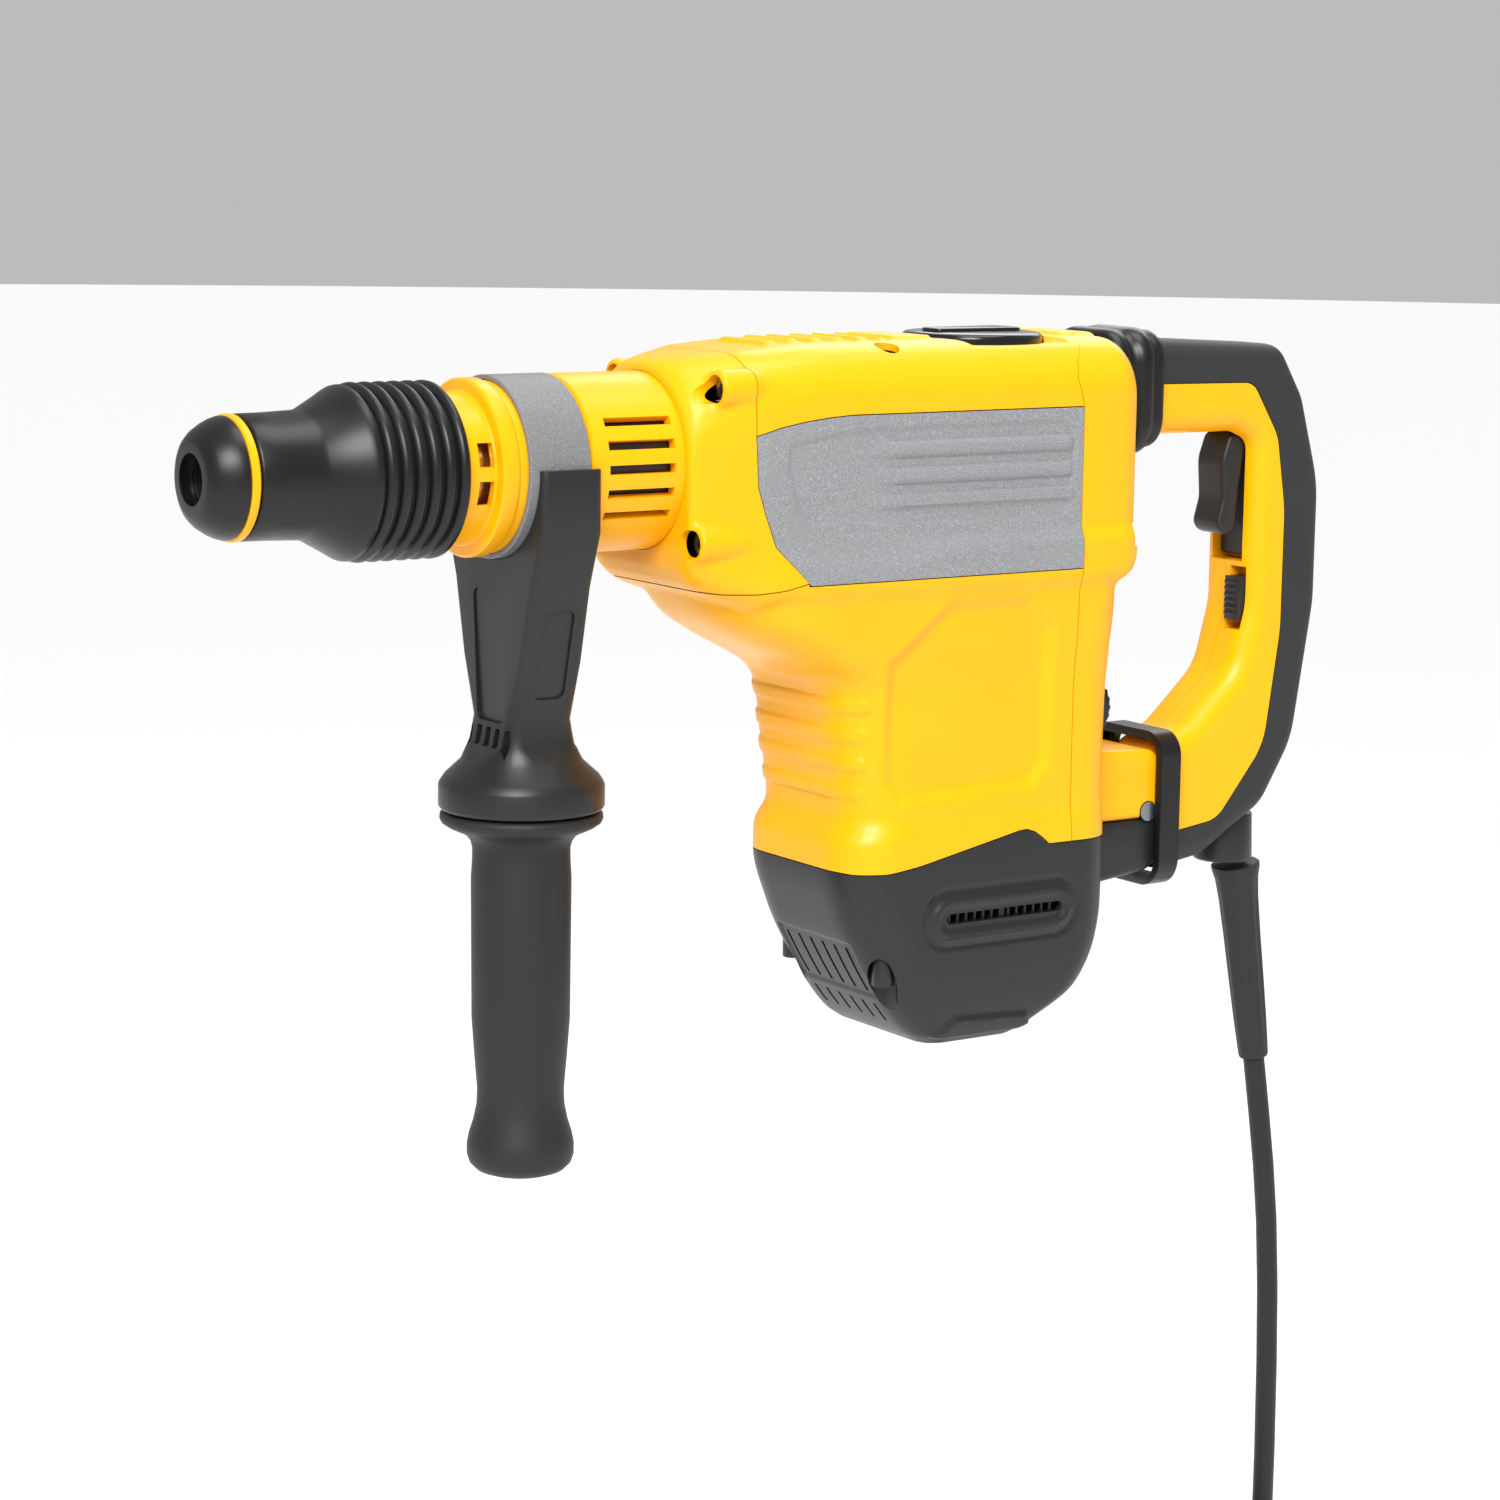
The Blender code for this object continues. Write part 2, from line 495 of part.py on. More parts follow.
def motor():
    """The upright universal motor: armature, commutator, fan, stator, bearings and brushes."""
    at_motor = {"axis": (0, 0, 1), "origin": (MOTOR_X, 0, 0)}
    shaft = turned("armature_shaft", [(-216, 0), (-216, 4), (-204, 4), (-204, 6), (-48, 6), (-48, 3.4), (-47, 3.4), (-47, 0)],
           "steel", segments=20, **at_motor)
    pinion = gear_outline(PINION_TEETH, GEAR_MODULE * PINION_TEETH / 2)
    boolean(shaft, prism("motor_pinion", [(MOTOR_X + a, b) for a, b in pinion], -47.5, -29, "steel", along="Z"), "UNION")
    core = gear_outline(12, 20.6, 0, 1.4, 2.2)
    laminations = prism("armature_core", [(MOTOR_X + a, b) for a, b in core], -146, -96, "dark_steel", along="Z")
    boolean(laminations, rod("core_bore", -150, -90, 6.3, "steel", **at_motor))
    ring("commutator", -182, -162, 6.3, 13, "copper", 24, **at_motor)
    blades = gear_outline(10, 24, 0, 7, 12)
    fan = prism("cooling_fan", [(MOTOR_X + a, b) for a, b in blades], -84, -74, "black_plastic", along="Z")
    boolean(fan, rod("fan_bore", -90, -70, 6.3, "steel", **at_motor))
    outer = arc((MOTOR_X, 0), 35.5, 0, 345, 24)
    stator = prism("stator", outer, -148, -94, "dark_steel", along="Z")
    boolean(stator, rod("stator_bore", -160, -80, 22.8, "steel", 32, **at_motor))
    for side, name in ((-1, "left"), (1, "right")):
        holder = box(f"carbon_brush_{name}", (MOTOR_X - 6, min(19 * side, 34 * side), -178),
                     (MOTOR_X + 6, max(19 * side, 34 * side), -166), "carbon")
        boolean(holder, box(f"brush_tip_{name}", (MOTOR_X - 4, min(13.4 * side, 22 * side), -176),
                            (MOTOR_X + 4, max(13.4 * side, 22 * side), -168), "carbon"), "UNION")
    bevelled(box("speed_controller", (206, -26, -204), (240, 12, -186), "black_plastic"), 1.5, 1)


# ---------------------------------------------------------------- controls on the casing


def controls():
    """The mode selector on top and the speed wheel at the rear edge."""
    r, x = SELECTOR_R, SELECTOR_X
    knob = turned("mode_selector", [(36, 0), (36, r - 0.5), (43, r), (44.6, r - 2), (45, r - 5), (45, 0)], "black_plastic",
                  axis=(0, 0, 1), origin=(x, 0, 0), segments=28)
    outline = rounded_outline([(x - 21, -6, 3), (x + 19, -9, 4), (x + 19, 9, 4), (x - 21, 6, 3)])
    grip = prism("selector_grip", outline, 43.5, 46.2, "black_plastic", along="Z")
    boolean(knob, grip, "UNION")
    boolean(knob, rod("selector_shaft", 24, 37, 5, "steel", 16, axis=(0, 0, 1), origin=(x, 0, 0)), "UNION")
    rim = [(242 + a, -104 + b) for a, b in gear_outline(20, 13.5, 0, 0.3, 0.6)]
    wheel = prism("speed_wheel", rim, -26.5, -17.5, "black_plastic")
    stub = rod("wheel_stub", -20, -12, 4, "steel", 12, axis=(0, 1, 0), origin=(242, 0, -104))
    boolean(wheel, stub, "UNION")


# ---------------------------------------------------------------- side handle


def side_handle():
    """The strap, its saddle and stem, the through bolt and the rubber grip."""
    x0, x1 = -16, 9
    strap = ring("clamp_strap", x0, x1, COLLAR_R + GAP, 33.2, "grey_panel", 36)
    sections = [(1, 12.5, 36), (-22, 12.5, 36), (-42, 12.5, 29), (-70, 13, 22), (-92, 13.4, 17), (-101, 15, 17.5),
                (-108, 22, 23), (-114, 29, 29), (-116, 30.7, 30.7), (-126, 30.7, 30.7)]
    loops = []
    for z, hx, hy in sections:
        radius = min(hx, hy) - 0.01 if z < -105 else (4 if z > -80 else 8)
        loops.append([(x, y, z) for x, y in rounded_rectangle((-hx, -hy), (hx, hy), [radius] * 4)])
    bracket = lofted("handle_bracket", loops, "black_plastic")
    boolean(bracket, along_x("saddle_bore", -60, 60, COLLAR_R + 2.3, segments=36))
    boolean(bracket, rod("bolt_bore", -140, -20, 5.4, "steel", 16, axis=(0, 0, 1)))
    boolean(strap, rod("strap_bolt_hole", -60, -20, 3.5, "steel", 16, axis=(0, 0, 1)))
    turned("clamp_bolt", [(-36.5, 0), (-36.5, 5), (-146, 5), (-146, 0)], "steel", axis=(0, 0, 1), segments=16)
    outline = [(-146.4, 0), (-146.4, 5.4), (-126.6, 5.4), (-126.6, 27.5), (-128, 29.8), (-131, 29.6), (-133.5, 26),
               (-136, 20.5), (-141, 18), (-152, 18.5), (-205, 18.2), (-232, 16),
               (-244, 17.6), (-252, 19.8), (-257, 20), (-262, 17.5), (SIDE_GRIP_BOTTOM, 12), (SIDE_GRIP_BOTTOM, 0)]
    turned("side_grip", outline, "black_rubber", axis=(0, 0, 1), segments=24)


# ---------------------------------------------------------------- D-handle

GRIP_HALF, GRIP_EDGE = 16.5, 9.0
# The loop of the handle on its side, as (x, z, corner radius), and the hole for the hand
LOOP_OUTER = [(268, 41.5, 3), (352, 37, 10), (365, 16, 24), (375.5, -20, 60), (375.5, -70, 60), (366, -128, 40),
              (350, -154, 20), (318, -173, 20), (291, -177, 4), (291, -125, 3), (306, -117.5, 16), (330, -96, 24),
              (337, -70, 30), (337, -2, 6), (328, 2, 6), (268, 2, 3)]
# The line along the middle of the loop where the yellow shell meets the rubber cover
SPLIT = [(255, 23), (334, 22, 8), (348, 0, 20), (353, -30, 60), (353, -80, 60), (346, -128, 30), (322, -157, 14), (285, -162)]


def side_shell(name, y0, y1, solid):
    half = frozen(solid, name, "yellow_plastic")
    boolean(half, box(name + "_zone", (240, y0, -200), (400, y1, 80), "yellow_plastic"), "INTERSECT")
    return half


def d_handle():
    """Two yellow shells with a rubber cover on their back, the switch, trigger and lock slider."""
    sections = []
    for side in (-1, 1):
        turns = (0, 30, 60, 90) if side < 0 else (90, 60, 30, 0)
        for turn in turns:
            inset, y = GRIP_EDGE * (1 - math.sin(math.radians(turn))), GRIP_EDGE * math.cos(math.radians(turn))
            rim = rounded_outline(inset_corners(LOOP_OUTER, inset))
            sections.append([(a, side * (GRIP_HALF - GRIP_EDGE + y), b) for a, b in rim])
    loop = as_cutter(lofted("handle_loop", sections, "yellow_plastic"))
    split = [(c[0], c[1], c[2] if len(c) > 2 else 0) for c in SPLIT]
    inside = rounded_outline(split + [(285, -100, 0), (320, -100, 0), (320, -20, 0), (255, -20, 0)])
    beyond = [(a + GAP * (0 < n < 6), b + GAP * (1 if n < 3 else -1 if n > 4 else 0), r) for n, (a, b, r) in enumerate(split)]
    outside = rounded_outline(beyond + [(285, -230, 0), (430, -230, 0), (430, 90, 0), (255, 90, 0)])
    yellow = as_cutter(boolean(frozen(loop, "handle_yellow", "yellow_plastic"),
                               prism("handle_inside", inside, -40, 40, "steel"), "INTERSECT"))
    yellow = as_cutter(frozen(yellow, "handle_yellow_whole", "yellow_plastic"))
    pocket = box("switch_pocket", (331.5, -9.3, -52), (347.5, 9.3, 5), "steel")
    mouth = box("trigger_mouth", (322, -9.3, -46), (340, 9.3, 4), "steel")
    slot = box("slider_slot", (325, -11.4, -80), (344, -2.6, -54), "steel")
    core = rod("handle_damper_bore", 262, 300, 12.2, "steel", 24, origin=(0, 0, 24))
    for name, low, high in (("handle_shell_left", -30, -SEAM), ("handle_shell_right", SEAM, 30)):
        half = side_shell(name, low, high, yellow)
        for cutter in (pocket, mouth, slot, core):
            boolean(half, cutter)
    cover = frozen(loop, "handle_cover", "black_rubber")
    boolean(cover, prism("handle_outside", outside, -40, 40, "steel"), "INTERSECT")
    boolean(cover, core)
    boolean(cover, rod("gland_seat", -190, -157.5, 12.9, "steel", 24, axis=(0, 0, 1), origin=(340, 0, 0)))
    tongue = prism("pivot_tongue", rounded_outline([(275, -142, 6), (290, -142, 2), (290, -163, 0), (300, -163, 0),
                                                    (300, -169, 0), (275, -169, 6)]), -7, 7, "black_rubber")
    boolean(cover, tongue, "UNION")
    boolean(cover, rod("tongue_bore", -12, 12, 4.3, "steel", 16, axis=(0, 1, 0), origin=(PIVOT[0], 0, PIVOT[2])))
    rod("pivot_pin", -19.5, 19.5, 4, "steel", 16, axis=(0, 1, 0), origin=(PIVOT[0], 0, PIVOT[2]))
    bevelled(box("switch_body", (340.8, -9, -50), (347.2, 9, -6), "black_plastic"), 1, 1)
    blade = rounded_outline([(340, 1, 2), (330, 1, 3), (326, -10, 14), (327, -26, 10), (324, -38, 4), (334, -42, 3),
                             (336, -20, 8)])
    bevelled(prism("trigger", blade, -8.6, 8.6, "black_plastic"), 2, 2)
    slider = box("lock_slider", (334, -11, -76), (343, -3, -58), "black_plastic")
    bevelled(slider, 1, 1)


def rubber_joints():
    """The bellows round the upper arm, the gaiter round the lower arm and the damper spring."""
    loops = []
    for x, grow in ((258, 1), (261, 4), (265, 5), (268, 2), (272, 4.5), (277, 5.5), (281, 2.5), (284, 2.5)):
        low, high = (-17.5 - grow, 0.3 - grow), (17.5 + grow, 42.5 + grow / 2)
        loops.append([(x, y, z) for y, z in rounded_rectangle(low, high, [11 + grow / 2] * 4)])
    bellows = lofted("handle_bellows", loops, "black_rubber")
    inner = rounded_rectangle((-17, 1.0), (17, 42.3), [9] * 4)
    boolean(bellows, prism("bellows_hole", inner, 250, 300, "steel", along="X"))
    band = rounded_rectangle((-23, -182), (23, -118), [10, 10, 12, 12])
    gaiter = prism("lower_gaiter", band, 286, 297, "black_rubber", along="X")
    hole = rounded_rectangle((-19.7, -178.5), (19.7, -121.5), [6, 6, 7, 7])
    boolean(gaiter, prism("gaiter_hole", hole, 280, 310, "steel", along="X"))
    helix("damper_spring", 9, 1.4, 258, 288, 5, "steel", centre=(0, 24), steps=8)


# ---------------------------------------------------------------- cord

RELIEF_TOP, RELIEF_END = Vector((346, 0, -172)), Vector((361.5, 0, -266))
COIL_CENTRE = (321.5, 0.0)
COIL_R, COIL_HALF, COIL_HEIGHT = 54.5, 14.2, 37.4
CORD_ROUTE = [(361.6, 0, -266.5), (365.5, 0, -290), (369.3, 0, -315), (372.2, 0, -340), (374.2, 0, -370), (375.4, 0, -405),
              (376, 0, -445), (376, 0, -480), (376, 0, FLOOR_Z + COIL_HEIGHT + GAP)]


def smooth_route(points, spacing):
    """Points a given distance apart on a Catmull-Rom curve through the route's points."""
    route = [Vector(p) for p in points]
    padded = [2 * route[0] - route[1], *route, 2 * route[-1] - route[-2]]
    fine = []
    for a, b, c, d in zip(padded, padded[1:], padded[2:], padded[3:]):
        for k in range(24):
            t = k / 24
            fine.append(0.5 * (2 * b + (c - a) * t + (2 * a - 5 * b + 4 * c - d) * t**2 + (3 * b - a - 3 * c + d) * t**3))
    fine.append(route[-1])
    total = sum((b - a).length for a, b in zip(fine, fine[1:]))
    count = round(total / spacing)
    made, along, goal = [fine[0]], 0.0, total / count
    for a, b in zip(fine, fine[1:]):
        step = (b - a).length
        while along + step >= goal * len(made) and len(made) < count:
            made.append(a + (b - a) * ((goal * len(made) - along) / step))
        along += step
    return made + [fine[-1]]


def cord():
    """The gland in the handle, the tapered strain relief, the hanging cord, its coil and plug."""
    turned("cord_gland", [(-158, 0), (-158, 12), (-160, 12.5), (-176, 12.5), (-178, 11.5), (-178, 0)], "black_plastic",
           axis=(0, 0, 1), origin=(340, 0, 0), segments=24)
    lean = (RELIEF_END - RELIEF_TOP).normalized()
    length = (RELIEF_END - RELIEF_TOP).length
    turned("strain_relief", [(8.4, 0), (8.4, 10.4), (13, 9.8), (45, 7.6), (length - 3, 6.4), (length, 6.0), (length, 0)],
           "black_rubber", axis=lean, origin=RELIEF_TOP, segments=20)
    curve = bpy.data.curves.new("power_cord", "CURVE")
    curve.dimensions = "3D"
    curve.bevel_depth = CORD_R * MM
    curve.bevel_resolution = 3
    curve.use_fill_caps = True
    spline = curve.splines.new("POLY")
    route = smooth_route(CORD_ROUTE, 2.6 * 2 * CORD_R)
    spline.points.add(len(route) - 1)
    for point, place in zip(spline.points, route):
        point.co = (*((place - ORIGIN) * MM), 1)
    curve.materials.append(material("black_rubber"))
    bpy.context.scene.collection.objects.link(bpy.data.objects.new("power_cord", curve))
    low, high = FLOOR_Z, FLOOR_Z + COIL_HEIGHT
    r0, r1 = COIL_R - COIL_HALF, COIL_R + COIL_HALF
    turned("cord_coil", [(low, r0 + 3), (low, r1 - 3), (low + 3, r1), (high - 3, r1), (high, r1 - 3), (high, r0 + 3),
                                (high - 3, r0), (low + 3, r0)], "black_rubber", axis=(0, 0, 1),
           origin=(*COIL_CENTRE, 0), segments=28)
    top = high + GAP
    x, y = COIL_CENTRE[0] - 50, COIL_CENTRE[1] + 2
    body = rounded_outline([(x - 22, y - 12, 4), (x + 10, y - 12, 4), (x + 24, y - 6, 3), (x + 24, y + 6, 3),
                            (x + 10, y + 12, 4), (x - 22, y + 12, 4)], 3)
    plug = bevelled(prism("plug", body, top, top + 20, "black_plastic", along="Z"), 2.5, 2)
    for side, name in ((-1, "left"), (1, "right")):
        boolean(plug, box(f"plug_blade_{name}", (x - 39.5, y + 6.3 * side - 0.8, top + 7),
                          (x - 20, y + 6.3 * side + 0.8, top + 13.4), "brass"), "UNION")


# Where each moving piece turns or slides
PIVOTS = {
    "chuck_sleeve": (-56, 0, 0), "tool_holder": (0, 0, 0), "nose_cap": (-124, 0, 0), "beat_piece": (0, 0, 0),
    "ram": (80, 0, 0), "piston": (145, 0, 0), "crankshaft": (CRANK_X, 0, -30), "idler_shaft": (IDLER_X, 0, -40),
    "armature_shaft": (MOTOR_X, 0, -120), "mode_selector": (SELECTOR_X, 0, 40), "speed_wheel": (242, -22, -104),
    "handle_bracket": (-3.5, 0, 0), "side_grip": (0, 0, -190), "trigger": (341, 0, 0.5), "lock_slider": (341.5, 0, -68),
    "handle_cover": PIVOT,
}


def set_pivots():
    for name, place in PIVOTS.items():
        pivot = (Vector(place) - ORIGIN) * MM
        bpy.data.objects[name].data.transform(Matrix.Translation(-pivot))
        bpy.data.objects[name].location = pivot


def main():
    for obj in list(bpy.data.objects):
        bpy.data.objects.remove(obj)
    casing()
    barrel()
    chuck()
    hammer_mechanism()
    rotary_drive()
    motor()
    controls()
    side_handle()
    d_handle()
    rubber_joints()
    cord()
    set_pivots()


main()
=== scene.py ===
import math

import bpy
import numpy as np
from mathutils import Matrix, Vector


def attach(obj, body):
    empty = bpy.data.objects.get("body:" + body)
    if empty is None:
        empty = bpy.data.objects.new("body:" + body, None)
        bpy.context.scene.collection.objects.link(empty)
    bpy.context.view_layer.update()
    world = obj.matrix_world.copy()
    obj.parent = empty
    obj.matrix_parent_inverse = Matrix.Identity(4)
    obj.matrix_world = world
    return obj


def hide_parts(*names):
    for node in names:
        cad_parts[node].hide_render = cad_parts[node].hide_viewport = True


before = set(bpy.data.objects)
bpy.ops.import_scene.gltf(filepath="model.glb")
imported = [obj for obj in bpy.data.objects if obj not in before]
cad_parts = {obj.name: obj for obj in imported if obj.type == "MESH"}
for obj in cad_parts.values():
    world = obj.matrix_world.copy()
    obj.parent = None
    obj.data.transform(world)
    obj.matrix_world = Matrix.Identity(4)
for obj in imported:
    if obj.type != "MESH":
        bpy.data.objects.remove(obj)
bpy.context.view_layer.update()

# -------------------------------- camera, floor and light
# A long lens a little above the tool axis and a pale floor far below the held tool. A broad soft
# sun from the front left, three small soft boxes and a bright room light it.

STEM_X = 31.0  # the side handle's stem is this many millimetres in front of the row's origin
FLOOR_Z = -545.0


def at(x, y, z):
    """A point drawn in millimetres from the stem's axis, in the row frame in metres."""
    return Vector(((x - STEM_X) / 1000, y / 1000, z / 1000))


def turn(degrees, axis):
    """A rotation about an axis through the origin."""
    return Matrix.Rotation(math.radians(degrees), 4, axis)


bpy.ops.object.select_all(action="DESELECT")
bpy.ops.object.camera_add()
camera = bpy.context.object
pan, tilt, roll = -33.87, 80.63, 0.77  # degrees
camera.matrix_world = (Matrix.Translation(at(-697.4, -1189.4, 123.5))
                       @ turn(pan, "Z") @ turn(tilt, "X") @ turn(roll, "Z"))
camera.data.lens = 91.2
camera.data.sensor_width = 36
camera.data.clip_end = 60
bpy.context.scene.camera = camera

bpy.ops.mesh.primitive_circle_add(vertices=96, radius=14, fill_type="NGON", location=at(150, 0, FLOOR_Z))
floor = bpy.context.object
floor.name = "studio_floor"
paper = bpy.data.materials.new("pale_paper")
paper.use_nodes = True
paper_shader = paper.node_tree.nodes["Principled BSDF"]
paper_shader.inputs["Base Color"].default_value = (0.93, 0.93, 0.93, 1)
paper_shader.inputs["Roughness"].default_value = 0.9
floor.data.materials.append(paper)

room = bpy.data.worlds.new("bright_room")
room.use_nodes = True
room.node_tree.nodes["Background"].inputs["Color"].default_value = (1, 1, 1, 1)
room.node_tree.nodes["Background"].inputs["Strength"].default_value = 0.5
bpy.context.scene.world = room
bpy.context.scene.view_settings.view_transform = "Standard"
bpy.ops.object.light_add(type="SUN", location=at(-900, -1200, 1300))
sun = bpy.context.object
sun.data.energy = 2.7
sun.data.angle = math.radians(28)
sun.rotation_euler = Vector((0.5, 0.58, -0.64)).to_track_quat("-Z", "Y").to_euler()
BOX_SIZE = 0.8
tool_middle = at(130, 0, -70)
for name, place, power in (("key_box", (-700, -1100, 900), 7), ("top_box", (300, -100, 1300), 9),
                           ("rear_box", (1000, 700, 700), 5)):
    bpy.ops.object.light_add(type="AREA", location=at(*place))
    lamp = bpy.context.object
    lamp.name = name
    lamp.data.size = BOX_SIZE
    lamp.data.energy = power
    lamp.rotation_euler = (tool_middle - lamp.location).to_track_quat("-Z", "Y").to_euler()

# -------------------------------- power cord
# A two-core rubber-sheathed mains lead, about 3.8 m long and 9 mm thick. It hangs down from its
# strain relief, and the spare length is wound in a neat round coil on the floor.


def srgb(red, green, blue):
    """A colour given as it is seen, from 0 to 255, as the shader's linear colour."""
    linear = [((c / 255 + 0.055) / 1.055) ** 2.4 if c > 10 else c / 255 / 12.92 for c in (red, green, blue)]
    return (*linear, 1)


GRAIN_HEIGHT = 0.00012  # metres
GLOSS_SPREAD = 0.06


def moulded(name, colour, roughness, grain=0.1, grain_scale=1400, mottle=0.05, specks=None, metallic=0.0,
            sheen=0.4):
    """A procedural finish with a fine bumpy grain, a faint broad mottle and, if asked, bright specks."""
    made = bpy.data.materials.new(name)
    made.use_nodes = True
    nodes, links = made.node_tree.nodes, made.node_tree.links
    shader = nodes["Principled BSDF"]
    where = nodes.new("ShaderNodeTexCoord")
    broad = nodes.new("ShaderNodeTexNoise")
    broad.inputs["Scale"].default_value = 22
    broad.inputs["Detail"].default_value = 5
    fine = nodes.new("ShaderNodeTexNoise")
    fine.inputs["Scale"].default_value = grain_scale
    fine.inputs["Detail"].default_value = 3
    for noise in (broad, fine):
        links.new(where.outputs["Object"], noise.inputs["Vector"])
    ramp = nodes.new("ShaderNodeValToRGB")
    low, high = ramp.color_ramp.elements
    low.position, high.position = 0.3, 0.7
    low.color = (*(c * (1 - mottle) for c in colour[:3]), 1)
    high.color = (*(min(c * (1 + mottle), 1) for c in colour[:3]), 1)
    links.new(broad.outputs["Fac"], ramp.inputs["Fac"])
    surface = ramp.outputs["Color"]
    if specks:
        flakes = nodes.new("ShaderNodeTexNoise")
        flakes.inputs["Scale"].default_value = grain_scale * 0.9
        flakes.inputs["Detail"].default_value = 1
        links.new(where.outputs["Object"], flakes.inputs["Vector"])
        pick = nodes.new("ShaderNodeValToRGB")
        dark, bright = pick.color_ramp.elements
        dark.position, bright.position = 0.5, 0.68
        links.new(flakes.outputs["Fac"], pick.inputs["Fac"])
        mix = nodes.new("ShaderNodeMix")
        mix.data_type = "RGBA"
        mix.inputs["B"].default_value = specks
        links.new(pick.outputs["Color"], mix.inputs["Factor"])
        links.new(surface, mix.inputs["A"])
        surface = mix.outputs["Result"]
    links.new(surface, shader.inputs["Base Color"])
    gloss = nodes.new("ShaderNodeMapRange")
    gloss.inputs["To Min"].default_value = max(roughness - GLOSS_SPREAD, 0.02)
    gloss.inputs["To Max"].default_value = min(roughness + GLOSS_SPREAD, 1)
    links.new(broad.outputs["Fac"], gloss.inputs["Value"])
    links.new(gloss.outputs["Result"], shader.inputs["Roughness"])
    bump = nodes.new("ShaderNodeBump")
    bump.inputs["Strength"].default_value = grain
    bump.inputs["Distance"].default_value = GRAIN_HEIGHT
    links.new(fine.outputs["Fac"], bump.inputs["Height"])
    links.new(bump.outputs["Normal"], shader.inputs["Normal"])
    shader.inputs["Metallic"].default_value = metallic
    shader.inputs["Specular IOR Level"].default_value = sheen
    return made


def dress(piece, finish, body, replaced=()):
    """The piece gets its finish, rides on its body and stands for its CAD nodes."""
    piece.data.materials.clear()
    piece.data.materials.append(finish)
    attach(piece, body)
    if replaced:
        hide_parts(*replaced)
    return piece


CORD_D = 9.1
COIL_CENTRE = Vector((321.5, 0, 0))
INNER_R, MIDDLE_R, OUTER_R = 45.0, 54.4, 63.8  # the coil's three columns of turns
FIRST_RISE, LAYER_RISE = 4.65, 9.15  # the lowest turn over the floor, and each layer over the last
LAYERS = [FLOOR_Z + FIRST_RISE + LAYER_RISE * k for k in range(4)]
SLOTS = [(MIDDLE_R, LAYERS[3]), *((INNER_R, z) for z in reversed(LAYERS)),
         *((MIDDLE_R, z) for z in LAYERS[:3]), *((OUTER_R, z) for z in LAYERS)]
SPAN, SHIFT_ANGLE = 305, 60  # degrees in each slot, the last of them moving to the next
LAST_ANGLE = SPAN * len(SLOTS)  # a whole number of turns and 60 degrees
LANDING_R = 40  # the bend from hanging down to lying on the coil
STEPS = 250  # points along the coil
PLUG_Z = -497.3  # the height of the plug's middle


def eased(t):
    """0 before 0 and 1 after 1, with an even rise between."""
    t = min(max(t, 0.0), 1.0)
    return t * t * (3 - 2 * t)


def coil_point(angle):
    """The cord's centre at an angle counted from where it lands on the coil."""
    k = min(int(angle // SPAN), len(SLOTS) - 1)
    radius, height = SLOTS[k]
    if k < len(SLOTS) - 1:
        t = eased((angle - (SPAN * (k + 1) - SHIFT_ANGLE)) / SHIFT_ANGLE)
        radius += (SLOTS[k + 1][0] - radius) * t
        height += (SLOTS[k + 1][1] - height) * t
    a = math.radians(angle)
    return COIL_CENTRE + Vector((radius * math.cos(a), radius * math.sin(a), height))


hang = [(361.6, 0, -266.5), (365.5, 0, -290), (369.3, 0, -315), (372.2, 0, -340), (374.2, 0, -370),
        (375.4, 0, -405), (376, 0, -445), (376, 0, LAYERS[3] + LANDING_R)]
route = [Vector(p) for p in hang[:-1]]
route += [(Vector(hang[-2]) + Vector(hang[-1])) / 2]
for k in range(10):
    t = math.radians(9 * k)
    swept = LANDING_R * (1 - math.cos(t)) / MIDDLE_R
    route.append(COIL_CENTRE + Vector((MIDDLE_R * math.cos(swept), MIDDLE_R * math.sin(swept),
                                       LAYERS[3] + LANDING_R - LANDING_R * math.sin(t))))
landed = math.degrees(LANDING_R / MIDDLE_R)
route += [coil_point(landed + (LAST_ANGLE - landed) * k / STEPS) for k in range(STEPS + 1)]
# It leaves the outer column, bends in over the top of the coil and runs into the plug's tail.
heading = math.radians(LAST_ANGLE % 360 + 90)
for bend, radius, count in ((100, 25, 9), (0, 29, 3), (-70, 22, 7)):
    for k in range(count):
        step = math.radians(bend) / count
        stride = 2 * radius * abs(math.sin(step / 2)) if bend else radius / count
        heading += step / 2
        climb = min(2.2, PLUG_Z - route[-1].z)
        route.append(route[-1] + Vector((stride * math.cos(heading), stride * math.sin(heading), climb)))
        heading += step / 2

line = bpy.data.curves.new("power_cord_run", "CURVE")
line.dimensions = "3D"
line.bevel_depth = CORD_D / 2000
line.bevel_resolution = 4
line.use_fill_caps = True
spline = line.splines.new("POLY")
spline.points.add(len(route) - 1)
for point, place in zip(spline.points, route):
    point.co = (*at(*place), 1)
power_cord = bpy.data.objects.new("power_cord_run", line)
bpy.context.scene.collection.objects.link(power_cord)
sheath = moulded("cord_sheath", srgb(24, 24, 25), 0.5, 0.12, 900, 0.08)
dress(power_cord, sheath, "d_handle", ("power_cord", "cord_coil"))

# -------------------------------- strain relief and gland
# A soft black sleeve moulded on the cord, flared where the handle's gland grips it and tapering
# to the cord, with shallow flutes along it so that it bends evenly.


